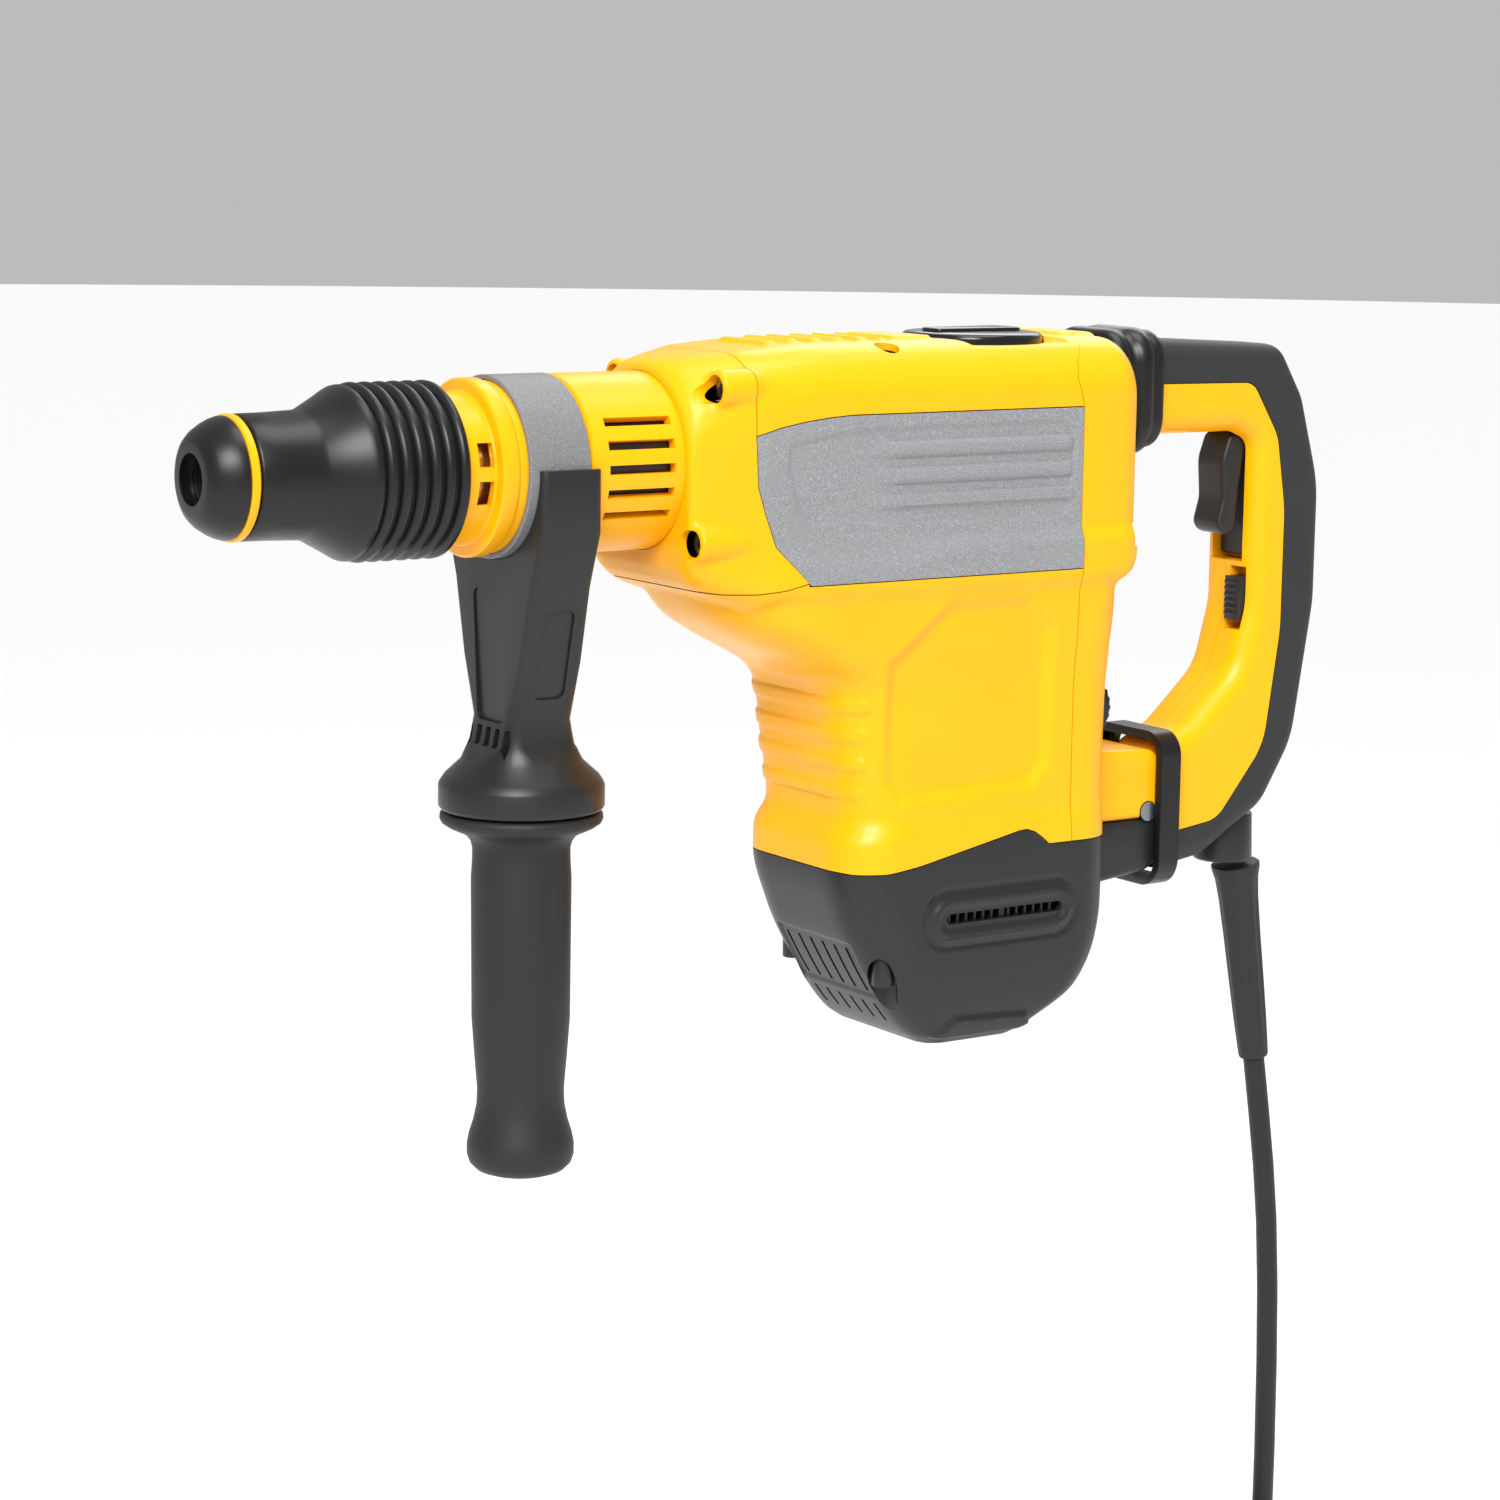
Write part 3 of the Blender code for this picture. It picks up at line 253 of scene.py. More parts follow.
def skin(name, rings, loop=False):
    """A closed skin over rings of equally many points, wrapped from a grid. A loop joins its ends."""
    rings = rings + rings[:1] if loop else rings
    bpy.ops.object.select_all(action="DESELECT")
    bpy.ops.mesh.primitive_grid_add(x_subdivisions=len(rings[0]), y_subdivisions=len(rings) - 1)
    piece = bpy.context.object
    piece.name = piece.data.name = name
    points = [at(*point) for ring in rings for point in [*ring, ring[0]]]
    piece.data.vertices.foreach_set("co", np.array(points, dtype=np.float32).ravel())
    bpy.ops.object.mode_set(mode="EDIT")
    bpy.ops.mesh.select_all(action="SELECT")
    bpy.ops.mesh.remove_doubles(threshold=0.000004)
    bpy.ops.mesh.fill_holes(sides=0)
    bpy.ops.mesh.select_all(action="SELECT")
    bpy.ops.mesh.normals_make_consistent(inside=False)
    bpy.ops.object.mode_set(mode="OBJECT")
    return piece


def circle(radius, count, wave=0.0, waves=0):
    """Points round a circle, with this many shallow waves if asked."""
    points = []
    for k in range(count):
        a = 2 * math.pi * k / count
        out = radius + wave * math.cos(waves * a)
        points.append((out * math.cos(a), out * math.sin(a)))
    return points


def choose(*pieces):
    """Only these pieces are selected, with the first of them active."""
    bpy.ops.object.select_all(action="DESELECT")
    for piece in pieces:
        piece.select_set(True)
    bpy.context.view_layer.objects.active = pieces[0]


def apply(piece, kind, **settings):
    """A modifier with these settings, applied at once."""
    choose(piece)
    modifier = piece.modifiers.new(kind.title(), kind)
    for key, value in settings.items():
        setattr(modifier, key, value)
    bpy.ops.object.modifier_apply(modifier=modifier.name)
    return piece


def smooth(piece, angle=35):
    """Smooth shading over every edge less sharp than the angle."""
    choose(piece)
    bpy.ops.object.shade_smooth_by_angle(angle=math.radians(angle))
    return piece


def soften(piece, width, segments=2, angle=30):
    """Small moulded radii on every edge sharper than the angle."""
    apply(piece, "BEVEL", width=width / 1000, segments=segments, limit_method="ANGLE",
          angle_limit=math.radians(angle))
    return smooth(piece)


relief_top, relief_end = Vector((346, 0, -172)), Vector((361.5, 0, -266))
lean = (relief_end - relief_top).normalized()
side_way = Vector((0, 1, 0))
other_way = lean.cross(side_way)
reach = (relief_end - relief_top).length


def leaning_ring(along, radius, wave=0.0):
    """A ring square to the sleeve's own line, with eight shallow flutes."""
    return [relief_top + lean * along + side_way * a + other_way * b for a,
            b in circle(radius, 64, wave, 8)]


profile = [(8.6, 0, 0), (8.6, 9.4, 0), (9.2, 10.2, 0), (11, 10.1, 0), (15, 9.0, 0.15), (24, 8.1, 0.3),
           (40, 7.5, 0.35),
           (60, 7.1, 0.35), (78, 6.7, 0.3), (reach - 5, 6.4, 0.1), (reach - 1.2, 6.3, 0),
           (reach - 0.4, 6.0, 0), (reach, 5.2, 0),
           (reach, 0, 0)]
strain_relief = skin("strain_relief_sleeve", [leaning_ring(*p) for p in profile])
black_rubber = moulded("black_rubber", srgb(30, 30, 31), 0.55, 0.16, 1100, 0.08)
dress(smooth(strain_relief), black_rubber, "d_handle", ("strain_relief",))


def turned(name, profile, axis="X", origin=(0, 0, 0), count=96, loop=False):
    """A turned piece from (along, radius) points. A loop is a hollow section that closes on itself."""
    rings = []
    for along, radius in profile:
        ring = []
        for a, b in circle(radius, count):
            x, y, z = {"X": (along, a, b), "Y": (a, along, b), "Z": (a, b, along)}[axis]
            ring.append((x + origin[0], y + origin[1], z + origin[2]))
        rings.append(ring)
    return skin(name, rings, loop)


black_nylon = moulded("black_nylon", srgb(30, 31, 32), 0.38, 0.12, 1600, 0.05)
gland = turned("cord_gland_collar", [(-158, 0), (-158, 11.8), (-177, 12.4), (-178, 11.6), (-178, 0)], "Z",
               (340, 0, 0), 64)
dress(soften(gland, 0.5), black_nylon, "d_handle", ("cord_gland",))

# -------------------------------- casing form
# The casings are injection moulded in glass-filled nylon. One smooth form is raised first and then
# parted along the moulding's seams, as the real tool's surfaces run on from piece to piece.


def arc_rectangle(low, high, radii, count=9):
    """A rectangle with its own radius at each corner, from (high, high) anticlockwise."""
    (a0, b0), (a1, b1) = low, high
    points = []
    for a, b, sa, sb, start, r in ((a1, b1, -1, -1, 0, radii[0]), (a0, b1, 1, -1, 90, radii[1]),
                                   (a0, b0, 1, 1, 180, radii[2]), (a1, b0, -1, 1, 270, radii[3])):
        for k in range(count):
            t = math.radians(start + 90 * k / (count - 1))
            points.append((a + sa * r + r * math.cos(t), b + sb * r + r * math.sin(t)))
    return points


def drawn_out(table, step):
    """The rows of a table of sections, filled in with a smooth curve at about this step."""
    rows = np.array(table, dtype=float)
    slopes = np.zeros_like(rows)
    gaps = np.diff(rows[:, 0])
    rises = np.diff(rows, axis=0) / gaps[:, None]
    slopes[0], slopes[-1] = rises[0], rises[-1]
    same = rises[:-1] * rises[1:] > 0
    with np.errstate(divide="ignore", invalid="ignore"):
        slopes[1:-1] = np.where(same, 2 * rises[:-1] * rises[1:] / (rises[:-1] + rises[1:]), 0)
    filled = []
    for k, gap in enumerate(gaps):
        parts = max(int(round(abs(gap) / step)), 1)
        for n in range(parts):
            t = n / parts
            row = ((1 + 2 * t) * (1 - t) ** 2 * rows[k] + t * (1 - t) ** 2 * gap * slopes[k]
                   + t * t * (3 - 2 * t) * rows[k + 1] + t * t * (t - 1) * gap * slopes[k + 1])
            row[0] = rows[k, 0] + gap * t
            filled.append(row)
    filled.append(rows[-1])
    return filled


# height, front, rear, half width, front radius, rear radius
UPRIGHT = [
    (-230, 164, 208, 32, 8, 8), (-226, 158, 215, 36, 12, 10), (-212, 146, 238, 40, 18, 14),
    (-195, 135, 247, 41.5, 21, 16), (-180, 127.5, 250, 42, 22, 18), (-157, 121, 250, 42.5, 22, 18),
    (-148, 121, 250, 42.3, 22, 18), (-137, 126, 250, 41, 22, 18), (-112, 122.5, 250, 41, 22, 18),
    (-92, 119.5, 250.5, 41, 22, 18), (-84, 115, 251, 41.5, 23, 18), (-77, 103, 251, 42.2, 26, 18),
    (-70, 88, 251.5, 42.8, 31, 18), (-60, 71, 252, 43.2, 35, 18), (-48, 60, 252, 43.4, 38, 18),
    (-38, 52, 252, 42, 38, 18)]
# station, top, half width, top radius, bottom
LEVEL = [
    (49.2, 35.2, 35.2, 34, -38), (52, 37, 36.6, 31, -43), (59, 38.3, 38.5, 28, -48),
    (70, 39.8, 41, 24, -52), (80, 41, 42.8, 21, -55), (110, 42.8, 43.4, 20, -55), (225, 43, 43.4, 20, -55),
    (246, 43, 42.6, 20, -55), (254, 40.5, 39.5, 20, -52), (257, 36.5, 35.5, 20, -48)]
WALL = 2.6
SCREWS = [(-35, 28, 60), (35, 28, 60), (-35, -28, 51), (35, -28, 51)]  # across, up, front face of the boss


def casing_rings(inset, step):
    """The rings of the upright and the level parts of the casing, shrunk by the inset."""
    upright, level = [], []
    for z, front, rear, half, r_front, r_rear in drawn_out(UPRIGHT, step):
        radii = [max(r - inset, 2) for r in (r_rear, r_front, r_front, r_rear)]
        ring = arc_rectangle((front + inset, -half + inset), (rear - inset, half - inset), radii)
        upright.append([(x, y, z + (inset if z < -229 else 0)) for x, y in ring])
    for x, top, half, radius, bottom in drawn_out(LEVEL, step):
        radii = [radius - inset, radius - inset, 11, 11]
        ring = arc_rectangle((-half + inset, bottom + inset), (half - inset, top - inset), radii)
        level.append([(x, y, z) for y, z in ring])
    for ring, shift in ((level[0], inset), (level[-1], -inset)):
        ring[:] = [(x + shift, y, z) for x, y, z in ring]
    return upright, level


def joined(name, parts):
    """Several pieces as one."""
    choose(*parts)
    bpy.ops.object.join()
    whole = bpy.context.object
    whole.name = whole.data.name = name
    return whole


def fused(name, parts, voxel, rounds):
    """One skin round several overlapping closed shapes, evened out a little."""
    whole = apply(joined(name, parts), "REMESH", mode="VOXEL", voxel_size=voxel / 1000)
    return apply(whole, "SMOOTH", factor=0.5, iterations=rounds)


def slab(name, outline, low, high, along="Y"):
    """A block with this outline, drawn in XZ, YZ or XY and drawn out along the third axis."""
    place = {"X": lambda a, b, d: (d, a, b), "Y": lambda a, b, d: (a, d, b),
             "Z": lambda a, b, d: (a, b, d)}[along]
    return skin(name, [[place(a, b, depth) for a, b in outline] for depth in (low, high)])


def block(name, low, high):
    """A box between two corners."""
    (x0, y0, z0), (x1, y1, z1) = low, high
    return slab(name, [(x0, z0), (x1, z0), (x1, z1), (x0, z1)], y0, y1)


def reach_out(side, near, far):
    """The ends of a stretch on one side of the middle, in rising order."""
    return sorted((near * side, far * side))


def cut(piece, *cutters, operation="DIFFERENCE"):
    """Cuts the piece by each cutter, and takes the cutters away."""
    for cutter in cutters:
        apply(piece, "BOOLEAN", operation=operation, solver="EXACT", object=cutter)
        bpy.data.meshes.remove(cutter.data)
    return piece


def twin(piece, name):
    """A copy with its own mesh."""
    copy = piece.copy()
    copy.data = piece.data.copy()
    copy.name = copy.data.name = name
    bpy.context.scene.collection.objects.link(copy)
    return copy


def rod(name, low, high, radius, axis="X", origin=(0, 0, 0), count=32, tip=None):
    """A round rod, or a cone where the tip has its own radius."""
    end = radius if tip is None else tip
    return turned(name, [(low, 0), (low, radius), (high, end), (high, 0)], axis, origin, count)


upright, level = casing_rings(0, 3)
parts = [skin("upright_form", upright), skin("level_form", level)]
for k, (y, z, face) in enumerate(SCREWS):
    parts.append(rod(f"boss_form_{k}", face, 76, 7.2, "X", (0, y, z)))
    if z > 0:
        parts.append(rod(f"fairing_form_{k}", 70, 112, 8.2, "X", (0, y * 0.97, z - 1.0), tip=5.5))
casing_form = fused("casing_form", parts, 1.1, 5)


def ramp_up(value, start, end):
    """0 before start and 1 after end, with an even rise between, on arrays."""
    t = np.clip((value - start) / (end - start), 0, 1)
    return t * t * (3 - 2 * t)


def polygon_distance(x, z, corners):
    """Distance to a polygon's outline, negative inside, on arrays."""
    inside = np.zeros(x.shape, bool)
    nearest = np.full(x.shape, 1e9)
    for (x0, z0), (x1, z1) in zip(corners, corners[1:] + corners[:1]):
        dx, dz = x1 - x0, z1 - z0
        t = np.clip(((x - x0) * dx + (z - z0) * dz) / (dx * dx + dz * dz), 0, 1)
        nearest = np.minimum(nearest, np.hypot(x - x0 - t * dx, z - z0 - t * dz))
        crosses = (z0 > z) != (z1 > z)
        with np.errstate(divide="ignore", invalid="ignore"):
            inside ^= crosses & (x < x0 + (z - z0) * dx / (dz if dz else 1e-9))
    return np.where(inside, -nearest, nearest)


def mm_of(piece):
    """A piece's points and normals, in millimetres from the stem's axis."""
    count = len(piece.data.vertices)
    points, normals = np.empty(count * 3, np.float32), np.empty(count * 3, np.float32)
    piece.data.vertices.foreach_get("co", points)
    piece.data.vertices.foreach_get("normal", normals)
    points = points.reshape(-1, 3) * 1000
    points[:, 0] += STEM_X
    return points.astype(float), normals.reshape(-1, 3).astype(float)


def set_mm(piece, points):
    """Moves a piece's points to these, in millimetres from the stem's axis."""
    moved = points.copy()
    moved[:, 0] -= STEM_X
    piece.data.vertices.foreach_set("co", (moved / 1000).astype(np.float32).ravel())
    piece.data.update()


PANEL_INSET = [(88, 7.4), (108, 10.8), (127, 12.4), (214, 12.6), (220, 9), (222, 1), (218.5, -22),
               (214, -25.2), (98, -22.8), (91.3, -16.5), (87.4, 0)]
SUNK_FIELD = [(163, -53), (202, -53.5), (216, -66), (216, -122), (207, -132), (142, -134), (134, -126),
              (134, -76)]
FOOT_RIDGE = [(162, -226.5), (172.5, -218.6), (207.5, -220.4), (212, -227)]
VENT_Z, VENT_X = -178.3, (166.0, 218.0)
PANEL_RIBS, FINGER_RIBS = (3.9, -6.0, -15.6), (-93.6, -105.0, -116.4, -127.6)  # their heights
BAR_PITCH = 10.4

# What the mould raises and sinks on the casing: the ledge and ribs of the side panel, the sunk field
# on the motor housing, its finger ribs, the frame of the cap's vent and the pads on top.
points, normals = mm_of(casing_form)
x, y, z = points.T
facing = ramp_up(np.abs(normals[:, 1]), 0.55, 0.85)
lift = np.zeros(len(x))
panel = polygon_distance(x, z, PANEL_INSET)
lift -= 0.8 * ramp_up(-panel, -0.2, 1.2)
rib = np.zeros(len(x))
for rib_z in PANEL_RIBS:
    rib = np.maximum(rib, ramp_up(x, 120, 140) * ramp_up(-np.abs(z - rib_z), -3.0, -1.9)
                     * ramp_up(-x, -220.5, -218.5))
lift += 1.5 * rib
ledge_end = 44.5 - 9.5 * ramp_up(x, 128, 166)
lift += 2.2 * ramp_up(-z, 27.8, ledge_end) * ramp_up(x, 74, 90) * ramp_up(z, -54, -46)
field = polygon_distance(x, z, SUNK_FIELD)
lift -= 2.4 * ramp_up(-field, 0, 6.5)
vent = np.hypot(x - np.clip(x, *VENT_X), z - VENT_Z)
lift += 1.7 * ramp_up(-vent, -9.0, -7.0) - 1.5 * ramp_up(-vent, -5.4, -3.6)
lift -= 0.7 * ramp_up(-np.abs(vent - 11.2), -1.3, -0.5)
foot = polygon_distance(x, z, FOOT_RIDGE)
lift += 1.8 * ramp_up(-foot, -1.0, 1.0)
points += normals * (lift * facing)[:, None]
finger = np.zeros(len(x))
for rib_z in FINGER_RIBS:
    finger = np.maximum(finger, ramp_up(-np.hypot(x - np.clip(x, None, 128), z - rib_z), -3.1, -2.2))
points += normals * (0.9 * finger)[:, None]
front = ramp_up(-normals[:, 0], 0.6, 0.9) * ramp_up(-np.abs(y), -25, -23.5)
points -= normals * (0.9 * front * ramp_up(z, -211, -209.5) * ramp_up(-z, 187, 188.5))[:, None]
top = ramp_up(normals[:, 2], 0.75, 0.95) * ramp_up(-np.abs(y), -17, -15)
bars = (ramp_up(np.cos((x - 97) * 2 * math.pi / BAR_PITCH), -0.1, 0.7) * ramp_up(x, 91, 92.5)
        * ramp_up(-x, -150, -148.5))
pads = ramp_up(x, 152, 153.5) * ramp_up(-x, -172, -170.5) + ramp_up(x, 232, 234) * ramp_up(-x, -252, -250)
points += normals * (1.5 * np.maximum(bars, pads) * top)[:, None]
set_mm(casing_form, points)

upright, level = casing_rings(WALL, 9)
hollow = fused("casing_hollow", [skin("hollow_upright", upright), skin("hollow_level", level)], 3.0, 1)
PILLAR = (143.5, 30.5)  # the cap's screw pillars, out from the middle on each side
for side in (-1, 1):
    cut(hollow, rod(f"pillar_backing_{side}", -240, -184, 8.6, "Z", (PILLAR[0], PILLAR[1] * side, 0)))
cut(casing_form, hollow)
SEAM = 0.22  # each piece stops this far from the line between it and its neighbour
FAR = 90  # past either side of the casing


def casing_piece(name, outline, low=-FAR, high=FAR):
    """The part of the casing inside an outline drawn on the side."""
    return cut(twin(casing_form, name), slab(name + "_zone", outline, low, high), operation="INTERSECT")


def shifted(points, along, up):
    """An outline moved along the tool and up."""
    return [(a + along, b + up) for a, b in points]


# The seams between the casing's pieces, seen from the side as (along, up), and the levels they meet.
REAR_X, PANEL_FOOT, CAP_TOP, OVER = 225, -45, -153, 66
PANEL_FRONT = [(74, 11), (75, -8), (78, -18), (82.5, -30), (96, -44)]
PANEL_TOP = [(74, 11), (84, 13.7), (94, 15.5), (105, 16.8), (116, 17.5), (225, 17.5)]
REAR_SEAM = [(262, 66), (240, 43.5), (229, 40), (224, 35), (222, 28), (225, 17.5)]
CAP_EDGE = [(214, -153), (210.5, -150), (207, -147.6), (203, -146.3), (199, -146.6), (186, -149.2),
            (170, -152.4), (152, -156), (137, -158), (126, -158.3), (112, -156.5), (95, -153)]
COVER_FOOT = [(96, -44), (86, -46.2), (76, -47.3), (64, -47.2), (50, -45.5), (30, -42)]

yellow_nylon = moulded("yellow_nylon", srgb(250, 175, 0), 0.34, 0.06, 1500, 0.02, sheen=0.3)

# -------------------------------- front cover
# The gear casing's nose, moulded in yellow nylon. It closes round the barrel and is held by four
# long screws, each sunk in its own round boss.
front_outline = [(30, OVER), (74 - SEAM, OVER), *shifted(PANEL_FRONT[:-1], -SEAM, 0),
                 *shifted(COVER_FOOT, -SEAM, SEAM)]
front_cover = casing_piece("front_cover_moulding", front_outline)
cut(front_cover, rod("barrel_seat", 40, 62, 33.25, count=96))
for k, (sy, sz, face) in enumerate(SCREWS):
    cut(front_cover, rod(f"screw_sink_{k}", 30, face + 8.3, 5.3, "X", (0, sy, sz), 40),
        rod(f"screw_way_{k}", 50, 72, 3.1, "X", (0, sy, sz)))
dress(smooth(front_cover, 40), yellow_nylon, "casing", ("front_cover",))

# -------------------------------- upper housing
# The deck over the hammer mechanism, yellow nylon, with grip bars and pads moulded on top, a round
# well for the mode selector and two sunk screws.
upper_outline = [(74 + SEAM, OVER), *shifted(REAR_SEAM[:-1], -SEAM, 0), (REAR_X - SEAM, 17.5 + SEAM),
                 *shifted(PANEL_TOP[-2:0:-1], 0, SEAM), *shifted(PANEL_TOP[:1], SEAM, SEAM)]
upper_housing = casing_piece("upper_housing_moulding", upper_outline)
cut(upper_housing, rod("selector_well", 30, 60, 28.2, "Z", (202.5, 0, 0), 96))
for side in (-1, 1):
    cut(upper_housing, rod(f"deck_screw_sink_{side}", 30, 52, 4.8, "Z", (140, 30 * side, 0)),
        slab(f"dial_opening_{side}", [(172, 47), (180, 40.7), (225, 40.7), (233, 47)],
             *reach_out(side, 14, 46)))
dress(smooth(upper_housing, 40), yellow_nylon, "casing", ("upper_housing",))

# -------------------------------- side panels
# Silver-grey nylon panels with a metallic fleck, one on each side of the gear casing. Each has a
# sunk field with three raised ribs, and a ledge along its foot.
grey_fleck = moulded("grey_fleck_nylon", srgb(128, 129, 131), 0.5, 0.15, 2600, 0.02,
                     specks=srgb(160, 161, 163))
panel_outline = [*shifted(PANEL_FRONT[:0:-1], SEAM, 0), *shifted(PANEL_TOP[:1], SEAM, -SEAM),
                 *shifted(PANEL_TOP[1:-1], 0, -SEAM), (REAR_X - SEAM, 17.5 - SEAM),
                 (REAR_X - SEAM, PANEL_FOOT + SEAM), (97 + SEAM, PANEL_FOOT + SEAM)]
for side, low, high in (("left", -FAR, -20), ("right", 20, FAR)):
    side_panel = casing_piece(f"side_panel_moulding_{side}", panel_outline, low, high)
    dress(smooth(side_panel, 40), grey_fleck, "casing", (f"side_panel_{side}",))

# -------------------------------- motor housing
# The yellow body round the upright motor, with a domed shoulder under the barrel, four finger ribs
# round its front and a sunk field on each side.
motor_outline = [*shifted(COVER_FOOT[::-1], -SEAM, -SEAM), (96, PANEL_FOOT - SEAM),
                 (REAR_X - SEAM, PANEL_FOOT - SEAM), (REAR_X - SEAM, CAP_TOP + SEAM),
                 *shifted(CAP_EDGE, 0, SEAM), (30, CAP_TOP + SEAM)]
motor_housing = casing_piece("motor_housing_moulding", motor_outline)
dress(smooth(motor_housing, 40), yellow_nylon, "casing", ("motor_housing",))

# -------------------------------- rear cover
# The back of the casing, yellow nylon, with the boss that holds the D-handle's pivot pin.
rear_outline = [*shifted(REAR_SEAM[::-1], SEAM, 0), (300, OVER), (300, CAP_TOP + SEAM),
                (REAR_X + SEAM, CAP_TOP + SEAM)]
rear_cover = casing_piece("rear_cover_moulding", rear_outline)


def rounded(corners, count=6):
    """A closed outline from (a, b, radius) corners, each rounded by its own arc."""
    points = []
    for k, (a, b, radius) in enumerate(corners):
        here = Vector((a, b))
        if not radius:
            points.append((a, b))
            continue
        before = (Vector(corners[k - 1][:2]) - here).normalized()
        after = (Vector(corners[(k + 1) % len(corners)][:2]) - here).normalized()
        half = before.angle(after) / 2
        centre = here + (before + after).normalized() * (radius / math.sin(half))
        start = here + before * (radius / math.tan(half)) - centre
        end = here + after * (radius / math.tan(half)) - centre
        sweep = math.atan2(start.x * end.y - start.y * end.x, start.dot(end))
        for n in range(count):
            c, sn = math.cos(sweep * n / (count - 1)), math.sin(sweep * n / (count - 1))
            points.append((centre.x + c * start.x - sn * start.y, centre.y + sn * start.x + c * start.y))
    return points


boss_outline = rounded([(247, -123, 0), (290, -125, 8), (290, CAP_TOP + SEAM, 0), (247, CAP_TOP + SEAM, 0)])
boss = slab("pivot_boss", boss_outline, -19, 19)
soften(boss, 2.5, 4, 50)
cut(rear_cover, boss, operation="UNION")
PIVOT = (283, 0, -150)
cut(rear_cover, block("boss_hollow", (236, -15.5, -160), (300, 15.5, -128)),
    rod("pin_bore", -30, 30, 4.3, "Y", PIVOT),
    block("wheel_slot", (234, -27.5, -119), (264, -16.5, -89)),
    rod("spring_bore", 240, 262, 5.3, "X", (0, 0, 24)),
    block("edge_notch", (252.5, -60, -38), (270, -24, -29)))
dress(smooth(rear_cover, 40), yellow_nylon, "casing", ("rear_cover",))

# -------------------------------- motor cap
# The black nylon cap under the motor. Air leaves by the framed vent on each side and the slits in
# its front corners, and a sunk screw in a round pillar holds it on each side.
cap_outline = [(263, CAP_TOP - SEAM), *shifted(CAP_EDGE, 0, -SEAM), (30, CAP_TOP - SEAM), (30, -260),
               (263, -260)]
motor_cap = casing_piece("motor_cap_moulding", cap_outline)
tail_outline = rounded([(247, CAP_TOP - SEAM, 0), (290, CAP_TOP - SEAM, 0), (290, -174, 9), (247, -179, 0)])
tail = slab("cap_tail", tail_outline, -18.7, 18.7)
soften(tail, 2.5, 4, 50)
cut(motor_cap, tail, operation="UNION")
cut(motor_cap, block("tail_hollow", (236, -15.5, -170), (300, 15.5, -140)))
slot_outline = rounded([(a, VENT_Z + b, 1.9) for a, b in ((165, -2), (221, -2), (221, 2), (165, 2))])
cut(motor_cap, slab("vent_slot", slot_outline, -60, 60))
for side in (-1, 1):
    cut(motor_cap, rod(f"pillar_sink_{side}", -240, -189.5, 6.0, "Z", (PILLAR[0], PILLAR[1] * side, 0), 48))
for k in range(6):
    across = -20 + 8 * k
    cut(motor_cap, block(f"front_slit_{k}", (120, across - 0.8, -208), (156, across + 0.8, -190)),
        block(f"low_slit_{k}", (130, across - 0.8, -221), (162, across + 0.8, -213.5)))
dress(smooth(motor_cap, 40), black_nylon, "casing", ("motor_cap",))

# Thin fins across each vent, one moulded strip behind each slot.
FIN_PITCH = 4.1
for side, word in ((-1, "left"), (1, "right")):
    strip = [block(f"fin_{side}_{k}", (167.4 + FIN_PITCH * k, 37.5 * side - 2.2, VENT_Z - 2.4),
                   (168.5 + FIN_PITCH * k + 1.6 * (k == 6), 37.5 * side + 2.2, VENT_Z + 2.4))
             for k in range(13)]
    strip.append(block(f"fin_back_{side}", (163, 35 * side - 0.6, VENT_Z - 3),
                       (223, 35 * side + 0.6, VENT_Z + 3)))
    fins = joined(f"vent_fins_{word}", strip)
    dress(smooth(fins), black_nylon, "casing")
    pillar = rod(f"cap_pillar_{word}", -204, -191.5, 4.3, "Z", (PILLAR[0], PILLAR[1] * side, 0), 40)
    dress(soften(pillar, 0.5), black_nylon, "casing")
bpy.data.meshes.remove(casing_form.data)

# -------------------------------- barrel
# The yellow nylon barrel guards the steel cylinder and lets the warm air out through five slots on
# each side. Its stepped front collar, with two windows, is turned down for the side handle's strap.
collar = turned("barrel_moulding", [
    (-46, 24.6), (-46, 27.0), (-45.5, 27.5), (-27.6, 27.5), (-26.8, 28.2), (-26.2, 31.4), (-25.4, 32.3),
    (-20.6, 32.4), (-19.6, 31.9), (-19, 31.2), (9.9, 31.2), (10.2, 32.3), (10.9, 33), (57.2, 33),
    (58, 32.4), (58, 29), (-22, 29),
    (-22, 24.6)], count=128, loop=True)
VENT_ANGLE = 15.5  # degrees from one vent to the next
for side in (-1, 1):
    for k in range(5):
        vent_cut = block(f"side_vent_{side}_{k}", (17, 25, -1.7), (45, 36, 1.7))
        vent_cut.data.transform(turn(90 - 90 * side + VENT_ANGLE * (k - 2), "X"))
        cut(collar, vent_cut)
    for low, high in ((2.5, 11), (-11, -2.5)):
        near, far = reach_out(side, 20, 34)
        cut(collar, block(f"collar_window_{side}_{low}", (-33.5, near, low), (-27.5, far, high)))
dress(smooth(collar, 30), yellow_nylon, "casing", ("barrel_shroud",))

# -------------------------------- chuck
# A black rubber sleeve over the sliding collar, ribbed so that a gloved hand can draw it back. The
# dust cap at the nose is softer rubber, and a yellow ring marks the chuck's lock.
deep_rubber = moulded("deep_black_rubber", srgb(14, 14, 15), 0.36, 0.1, 1200, 0.1)
RIB_PITCH = 5.75
outer = [(-115.4, 20.9), (-114.9, 21.8), (-114.2, 22.2), (-105, 22.3), (-92, 22.8), (-89.5, 23.3),
         (-80, 28.4), (-77, 30.2), (-75.4, 31.0), (-74.2, 31.2)]
for k in range(6):
    x0 = -72.8 + RIB_PITCH * k
    outer += [(x0 - 0.5, 30.9), (x0, 29.6), (x0 + 0.9, 29.5), (x0 + 1.5, 30.5), (x0 + 2.3, 31.6),
              (x0 + 3.4, 31.9), (x0 + 4.4, 31.6)]
outer += [(-39.7, 31.7), (-39, 31.0)]
